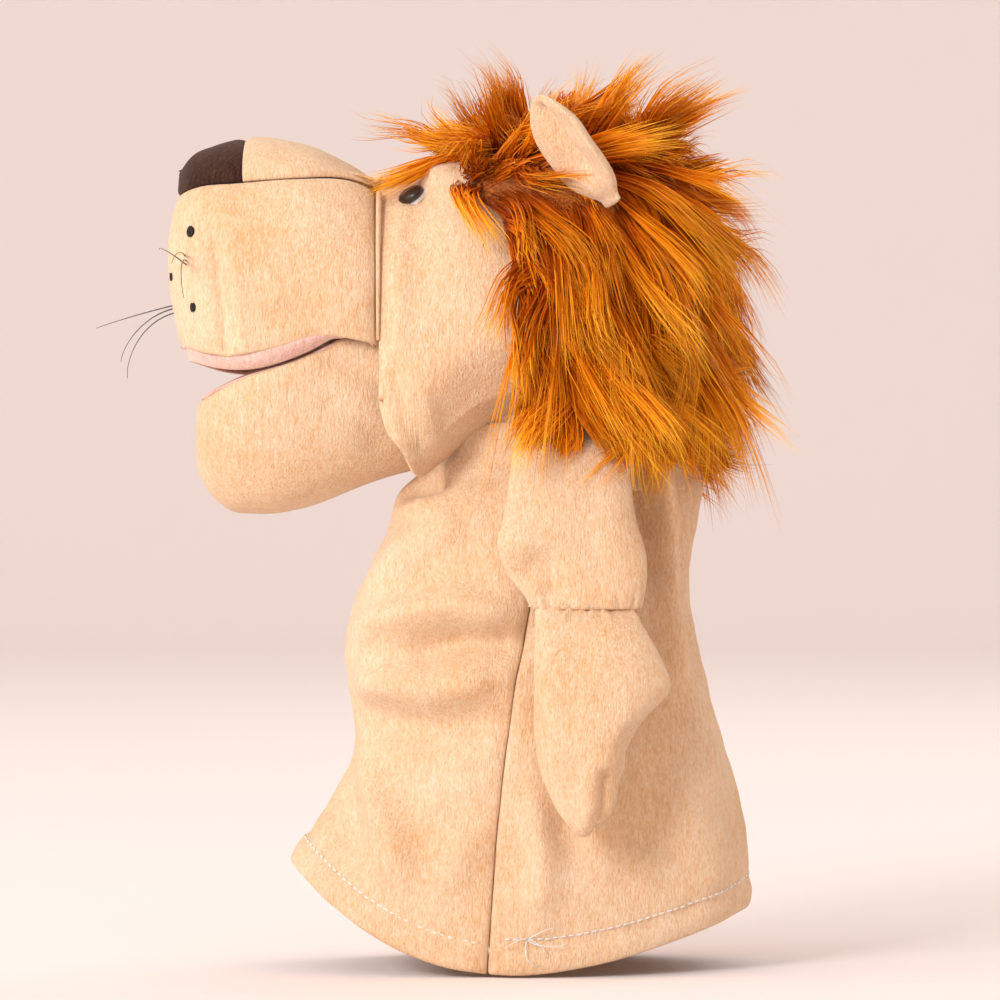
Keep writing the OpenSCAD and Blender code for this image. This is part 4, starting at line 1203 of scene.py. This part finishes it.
def stitch_tree():
    """Short rounded stitches laid one after the other along a path."""
    tree = bpy.data.node_groups.new("stitches", "GeometryNodeTree")
    face = tree.interface
    face.new_socket("Path", in_out="INPUT", socket_type="NodeSocketGeometry")
    for name, kind in [("Spacing", "NodeSocketFloat"), ("Length", "NodeSocketFloat"),
                       ("Radius", "NodeSocketFloat"), ("Wander", "NodeSocketFloat"),
                       ("Seed", "NodeSocketInt"), ("Finish", "NodeSocketMaterial")]:
        face.new_socket(name, in_out="INPUT", socket_type=kind)
    face.new_socket("Stitches", in_out="OUTPUT", socket_type="NodeSocketGeometry")
    given = tie(tree, "NodeGroupInput").outputs
    path = tie(tree, "GeometryNodeMeshToCurve", {"Mesh": given["Path"]}).outputs[0]
    path = tie(tree, "GeometryNodeResampleCurve", {"Curve": path, "Length": given["Spacing"]},
               mode="LENGTH").outputs[0]
    spot = tie(tree, "FunctionNodeRandomValue", {"Seed": given["Seed"]}, data_type="FLOAT_VECTOR")
    spot.inputs[0].default_value, spot.inputs[1].default_value = (-1, -1, -1), (1, 1, 1)
    shift = tie(tree, "ShaderNodeVectorMath", {0: spot.outputs[0], "Scale": given["Wander"]},
                operation="SCALE").outputs[0]
    path = tie(tree, "GeometryNodeSetPosition", {"Geometry": path, "Offset": shift}).outputs[0]
    tangent = tie(tree, "GeometryNodeInputTangent").outputs[0]
    turned = tie(tree, "FunctionNodeAlignRotationToVector", {"Vector": tangent}, axis="X").outputs[0]
    half = tie(tree, "ShaderNodeMath", {0: given["Length"], 1: 0.5}, operation="MULTIPLY").outputs[0]
    size = tie(tree, "ShaderNodeCombineXYZ", {0: half, 1: given["Radius"], 2: given["Radius"]}).outputs[0]
    bead = tie(tree, "GeometryNodeMeshUVSphere", {"Segments": 8, "Rings": 6, "Radius": 1.0}).outputs[0]
    placed = tie(tree, "GeometryNodeInstanceOnPoints",
                 {"Points": path, "Instance": bead, "Rotation": turned, "Scale": size}).outputs[0]
    whole = tie(tree, "GeometryNodeRealizeInstances", {"Geometry": placed}).outputs[0]
    whole = tie(tree, "GeometryNodeSetShadeSmooth", {"Geometry": whole}).outputs[0]
    whole = tie(tree, "GeometryNodeSetMaterial", {"Geometry": whole, "Material": given["Finish"]}).outputs[0]
    out = tree.nodes.new("NodeGroupOutput")
    tree.links.new(whole, out.inputs[0])
    return tree


def thread_finish(name, colour):
    """Twisted sewing thread: fine slanting ply lines and a slight gloss."""
    made, tree, shader = finish_named(name, colour, 0.55, Specular_IOR_Level=0.4)
    place = tie(tree, "ShaderNodeTexCoord").outputs["Object"]
    ply = tie(tree, "ShaderNodeTexWave", {"Vector": place, "Scale": 900, "Distortion": 2.0})
    ramp = tie(tree, "ShaderNodeValToRGB", {"Fac": ply.outputs["Fac"]})
    ramp.color_ramp.elements[0].color = (*(0.72 * k for k in colour), 1)
    ramp.color_ramp.elements[1].color = (*colour, 1)
    tree.links.new(ramp.outputs["Color"], shader.inputs["Base Color"])
    return made


white_thread = thread_finish("white_thread", (0.93, 0.90, 0.86))
cream_thread = thread_finish("cream_thread", (0.86, 0.66, 0.44))
black_thread = thread_finish("black_thread", (0.015, 0.010, 0.010))
stitch_nodes = stitch_tree()


def stitch_row(name, points, paint, spacing=2.6, length=2.1, radius=thread_radius, wander=0.05, seed=1):
    """A row of stitches along points in millimetres, as a plain mesh."""
    mesh = bpy.data.meshes.new(name)
    edges = [(k, k + 1) for k in range(len(points) - 1)]
    mesh.from_pydata([tuple(np.array(p) * mm) for p in points], edges, [])
    row = bpy.data.objects.new(name, mesh)
    bpy.context.collection.objects.link(row)
    made = row.modifiers.new("stitches", "NODES")
    made.node_group = stitch_nodes
    settings = {"Spacing": spacing * mm, "Length": length * mm, "Radius": radius * mm,
                "Wander": wander * mm, "Seed": seed, "Finish": paint}
    for item in stitch_nodes.interface.items_tree:
        if item.item_type == "SOCKET" and item.in_out == "INPUT" and item.name in settings:
            made[item.identifier] = settings[item.name]
    return settle(row)


def bow(start, end, sag, count=14):
    """Points from start to end with a round sag between them."""
    t = np.linspace(0, 1, count)[:, None]
    return np.array(start) * (1 - t) + np.array(end) * t + np.array(sag) * (4 * t * (1 - t)) ** 0.8


def on_body(front, height):
    """Points on the body at a height above the hem's edge, just proud of the cloth."""
    grid = body_grid(front)
    span = np.linalg.norm(np.diff(grid, axis=1), axis=-1).cumsum(1)
    column = int(np.median((span < height).sum(1))) + 1
    return (grid + normals_of(grid) * 0.15)[4:-4, column]


hem_rows = [stitch_row("hem_row", on_body(front, hem_turn), white_thread, wander=0.12, seed=5)
            for front in (True, False)]
near_hem = on_body(False, hem_turn)
near_hem = near_hem[near_hem[:, 1] < 0]
tail_at = near_hem[np.argmin(np.abs(near_hem[:, 0] - 2))]
for reach, drop, bend in [
    (9, 3.5, 1.5), (13, -1.5, -1.2), (6.5, -6, 1.0), (-7, -2.5, 1.5), (4, -8.5, -2)
]:
    tail = bow(tail_at, tail_at + np.array([reach, -0.8, drop]), (bend, -1.4, bend))
    hem_rows.append(tube_strand("hem_tail", tail, 0.2, white_thread, tip=0.6))
hem_thread = joined("hem_thread", hem_rows)
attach(hem_thread, "sleeve")
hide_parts("hem_stitching")

wrist_height = 121
for side, grid in (("left", arm), ("right", mirrored(arm))):
    column = int(np.argmin(np.abs(heights - wrist_height)))
    ring_points = grid[:, column]
    out = ring_points - ring_points.mean(0)
    out /= np.linalg.norm(out, axis=1, keepdims=True)
    ring_points = np.concatenate([ring_points, ring_points[:1]])
    ring_points = ring_points + np.concatenate([out, out[:1]]) * 0.1
    row = stitch_row(
        side + "_wrist_thread", ring_points, cream_thread,
        spacing=3.4, length=2.3, radius=0.2, seed=8,
    )
    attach(row, side + "_arm")
    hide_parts(side + "_wrist_stitching")

# ---------------------------------------------------------------------------------------------
# Whisker spots and whiskers
# Three satin-stitched black spots mark each side of the muzzle. Three nylon whiskers are pulled
# through the cloth between them on each side, and some of them have taken a bend.
line_paint, _, _ = finish_named("whisker_line", (0.05, 0.045, 0.045), 0.3, Coat_Weight=0.3)
spot_places = [(-108.1, 242.9, 1.75), (-107.2, 218.1, 1.5), (-115.3, 229.3, 1.3)]


muzzle_normals = normals_of(muzzle_skin)


def on_muzzle(x, z):
    """The point of the muzzle's side nearest to a place in side view, and the normal there."""
    away = np.hypot(muzzle_skin[..., 0] - x, muzzle_skin[..., 2] - z)
    at = np.unravel_index(np.argmin(away), away.shape)
    return muzzle_skin[at], muzzle_normals[at]


# each whisker's reach from its root and its bend, on the left side and on the right
whisker_ways = [((-1, -44, -5), (0, -2, 2)), ((2, -38, -14), (-1, -2, 3)), ((-6, -40, 3), (-2, 0, 2))]
far_ways = [((-31, 13, -8), (0, 0, 0.5)), ((-23, 12, -18), (-3, 2, 4)), ((-21, 10, -22), (-4, 1, 5))]
for name, sign in (("left", 1), ("right", -1)):
    threads = []
    for x, z, radius in spot_places:
        middle, normal = on_muzzle(x, z)
        level = np.cross(normal, (0, 0, 1.0))
        level /= np.linalg.norm(level)
        up = np.cross(level, normal)
        for k in np.arange(-radius + 0.2, radius, 0.36):
            long = math.sqrt(max(radius**2 - k**2, 0.04))
            ends = [middle + up * k - level * long, middle + up * k + level * long]
            stitch = bow(*ends, normal * 0.55, 7)
            threads.append(tube_strand("satin", stitch, 0.22, black_thread, sides=6))
    spots = joined(name + "_whisker_spot_threads", threads)
    if sign < 0:
        flip_points = np.array([v.co for v in spots.data.vertices]) * np.array([1, -1, 1])
        spots.data.vertices.foreach_set("co", flip_points.ravel())
        spots.data.flip_normals()
    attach(spots, "head")
    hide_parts(name + "_whisker_spots")
    if sign > 0:
        root = on_muzzle(-110.5, 235)[0]
    else:
        root = on_muzzle(-113.5, 222)[0] * np.array([1, -1, 1])
    hairs = []
    for k, (way, bend) in enumerate(whisker_ways if sign > 0 else far_ways):
        begin = root + np.array([0.4 * k, 0, -1.6 * k])
        hair = bow(begin, begin + np.array(way), bend)
        hairs.append(tube_strand("hair", hair, 0.27, line_paint, tip=0.35))
    whiskers = joined(name + "_whisker_hairs", hairs)
    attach(whiskers, "head")
    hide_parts(name + "_whiskers")

# ---------------------------------------------------------------------------------------------
# Collar
# A short tube of velour joins the body to the head inside the mane, so the head can nod and turn.
collar_middle, collar_long, collar_wide = 15.5, 42.0, 27.2
turns_round = np.linspace(0, 2 * math.pi, 96, endpoint=False)[:, None]
levels = np.linspace(158, 190, 24)[None, :]
slack = 1 + 0.012 * np.sin(turns_round * 11) + 0.008 * np.sin(levels * 0.8)
collar = np.stack([
    collar_middle + collar_long * slack * np.cos(turns_round) + 0 * levels,
    collar_wide * slack * np.sin(turns_round) + 0 * levels,
    levels + 0 * turns_round,
], -1)
collar_cloth = mesh_piece("collar_cloth", collar, closed=True, material=cream)
thicken(collar_cloth, 1.8)
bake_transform(collar_cloth)
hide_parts("neck_collar")

# ---------------------------------------------------------------------------------------------
# Stuffing, boards, pockets and washers
# Polyester fibre fills the muzzle, crown, jaw and paws. Stiff card behind the linings carries
# the mouth, and a cloth pocket on each board takes the fingers and the thumb.
fibre, tree, shader = finish_named("fibre_fill", (0.86, 0.86, 0.84), 0.95, Sheen_Weight=0.4)
place = tie(tree, "ShaderNodeTexCoord").outputs["Object"]
wool = tie(tree, "ShaderNodeTexNoise", {"Vector": place, "Scale": 300, "Detail": 5, "Distortion": 1.5})
ramp = tie(tree, "ShaderNodeValToRGB", {"Fac": wool.outputs["Fac"]})
ramp.color_ramp.elements[0].color = (0.62, 0.62, 0.60, 1)
ramp.color_ramp.elements[1].color = (0.93, 0.93, 0.92, 1)
tree.links.new(ramp.outputs["Color"], shader.inputs["Base Color"])
rise = tie(tree, "ShaderNodeBump", {"Strength": 0.8, "Distance": 0.001, "Height": wool.outputs["Fac"]})
tree.links.new(rise.outputs["Normal"], shader.inputs["Normal"])

for node, body, sunk in [
    ("muzzle_stuffing", "head", 3.2), ("crown_stuffing", "head", 2.0), ("jaw_stuffing", "jaw", 2.0),
    ("left_paw_stuffing", "left_paw", 2.6), ("right_paw_stuffing", "right_paw", 2.6),
]:
    batt = bpy.data.objects.new(node.replace("stuffing", "fill"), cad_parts[node].data.copy())
    bpy.context.collection.objects.link(batt)
    even = batt.modifiers.new("even", "REMESH")
    even.mode, even.voxel_size, even.use_smooth_shade = "VOXEL", 2.2 * mm, True
    settle(batt)
    points = np.array([v.co for v in batt.data.vertices]) / mm
    press(batt, uneven(points, 0.55, 9, 71) - sunk)
    batt.data.materials.clear()
    batt.data.materials.append(fibre)
    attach(batt, body)
    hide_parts(node)

board, tree, shader = finish_named("card", (0.42, 0.38, 0.33), 0.85)
place = tie(tree, "ShaderNodeTexCoord").outputs["Object"]
pulp = tie(tree, "ShaderNodeTexNoise", {"Vector": place, "Scale": 700, "Detail": 4})
ramp = tie(tree, "ShaderNodeValToRGB", {"Fac": pulp.outputs["Fac"]})
ramp.color_ramp.elements[0].color = (0.33, 0.29, 0.25, 1)
ramp.color_ramp.elements[1].color = (0.50, 0.46, 0.41, 1)
tree.links.new(ramp.outputs["Color"], shader.inputs["Base Color"])

cotton, tree, shader = finish_named("pocket_cloth", (0.80, 0.66, 0.50), 0.9)
place = tie(tree, "ShaderNodeTexCoord").outputs["Object"]
weave = tie(tree, "ShaderNodeTexChecker", {"Vector": place, "Scale": 1600})
weave.inputs["Color1"].default_value = (0.84, 0.70, 0.54, 1)
weave.inputs["Color2"].default_value = (0.70, 0.56, 0.41, 1)
tree.links.new(weave.outputs["Color"], shader.inputs["Base Color"])
rise = tie(tree, "ShaderNodeBump", {"Strength": 0.5, "Distance": 0.0003, "Height": weave.outputs["Fac"]})
tree.links.new(rise.outputs["Normal"], shader.inputs["Normal"])

clear_plastic, tree, shader = finish_named("washer_plastic", (0.75, 0.76, 0.78), 0.35)
place = tie(tree, "ShaderNodeTexCoord").outputs["Object"]
mould = tie(tree, "ShaderNodeTexNoise", {"Vector": place, "Scale": 500})
rise = tie(tree, "ShaderNodeBump", {"Strength": 0.2, "Distance": 0.0001, "Height": mould.outputs["Fac"]})
tree.links.new(rise.outputs["Normal"], shader.inputs["Normal"])

for paint, nodes in [
    (board, ["upper_palate_board", "lower_palate_board"]),
    (cotton, ["finger_pocket", "thumb_pocket"]),
    (clear_plastic, ["left_eye_washer", "right_eye_washer"]),
]:
    for node in nodes:
        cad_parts[node].data.materials.clear()
        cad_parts[node].data.materials.append(paint)
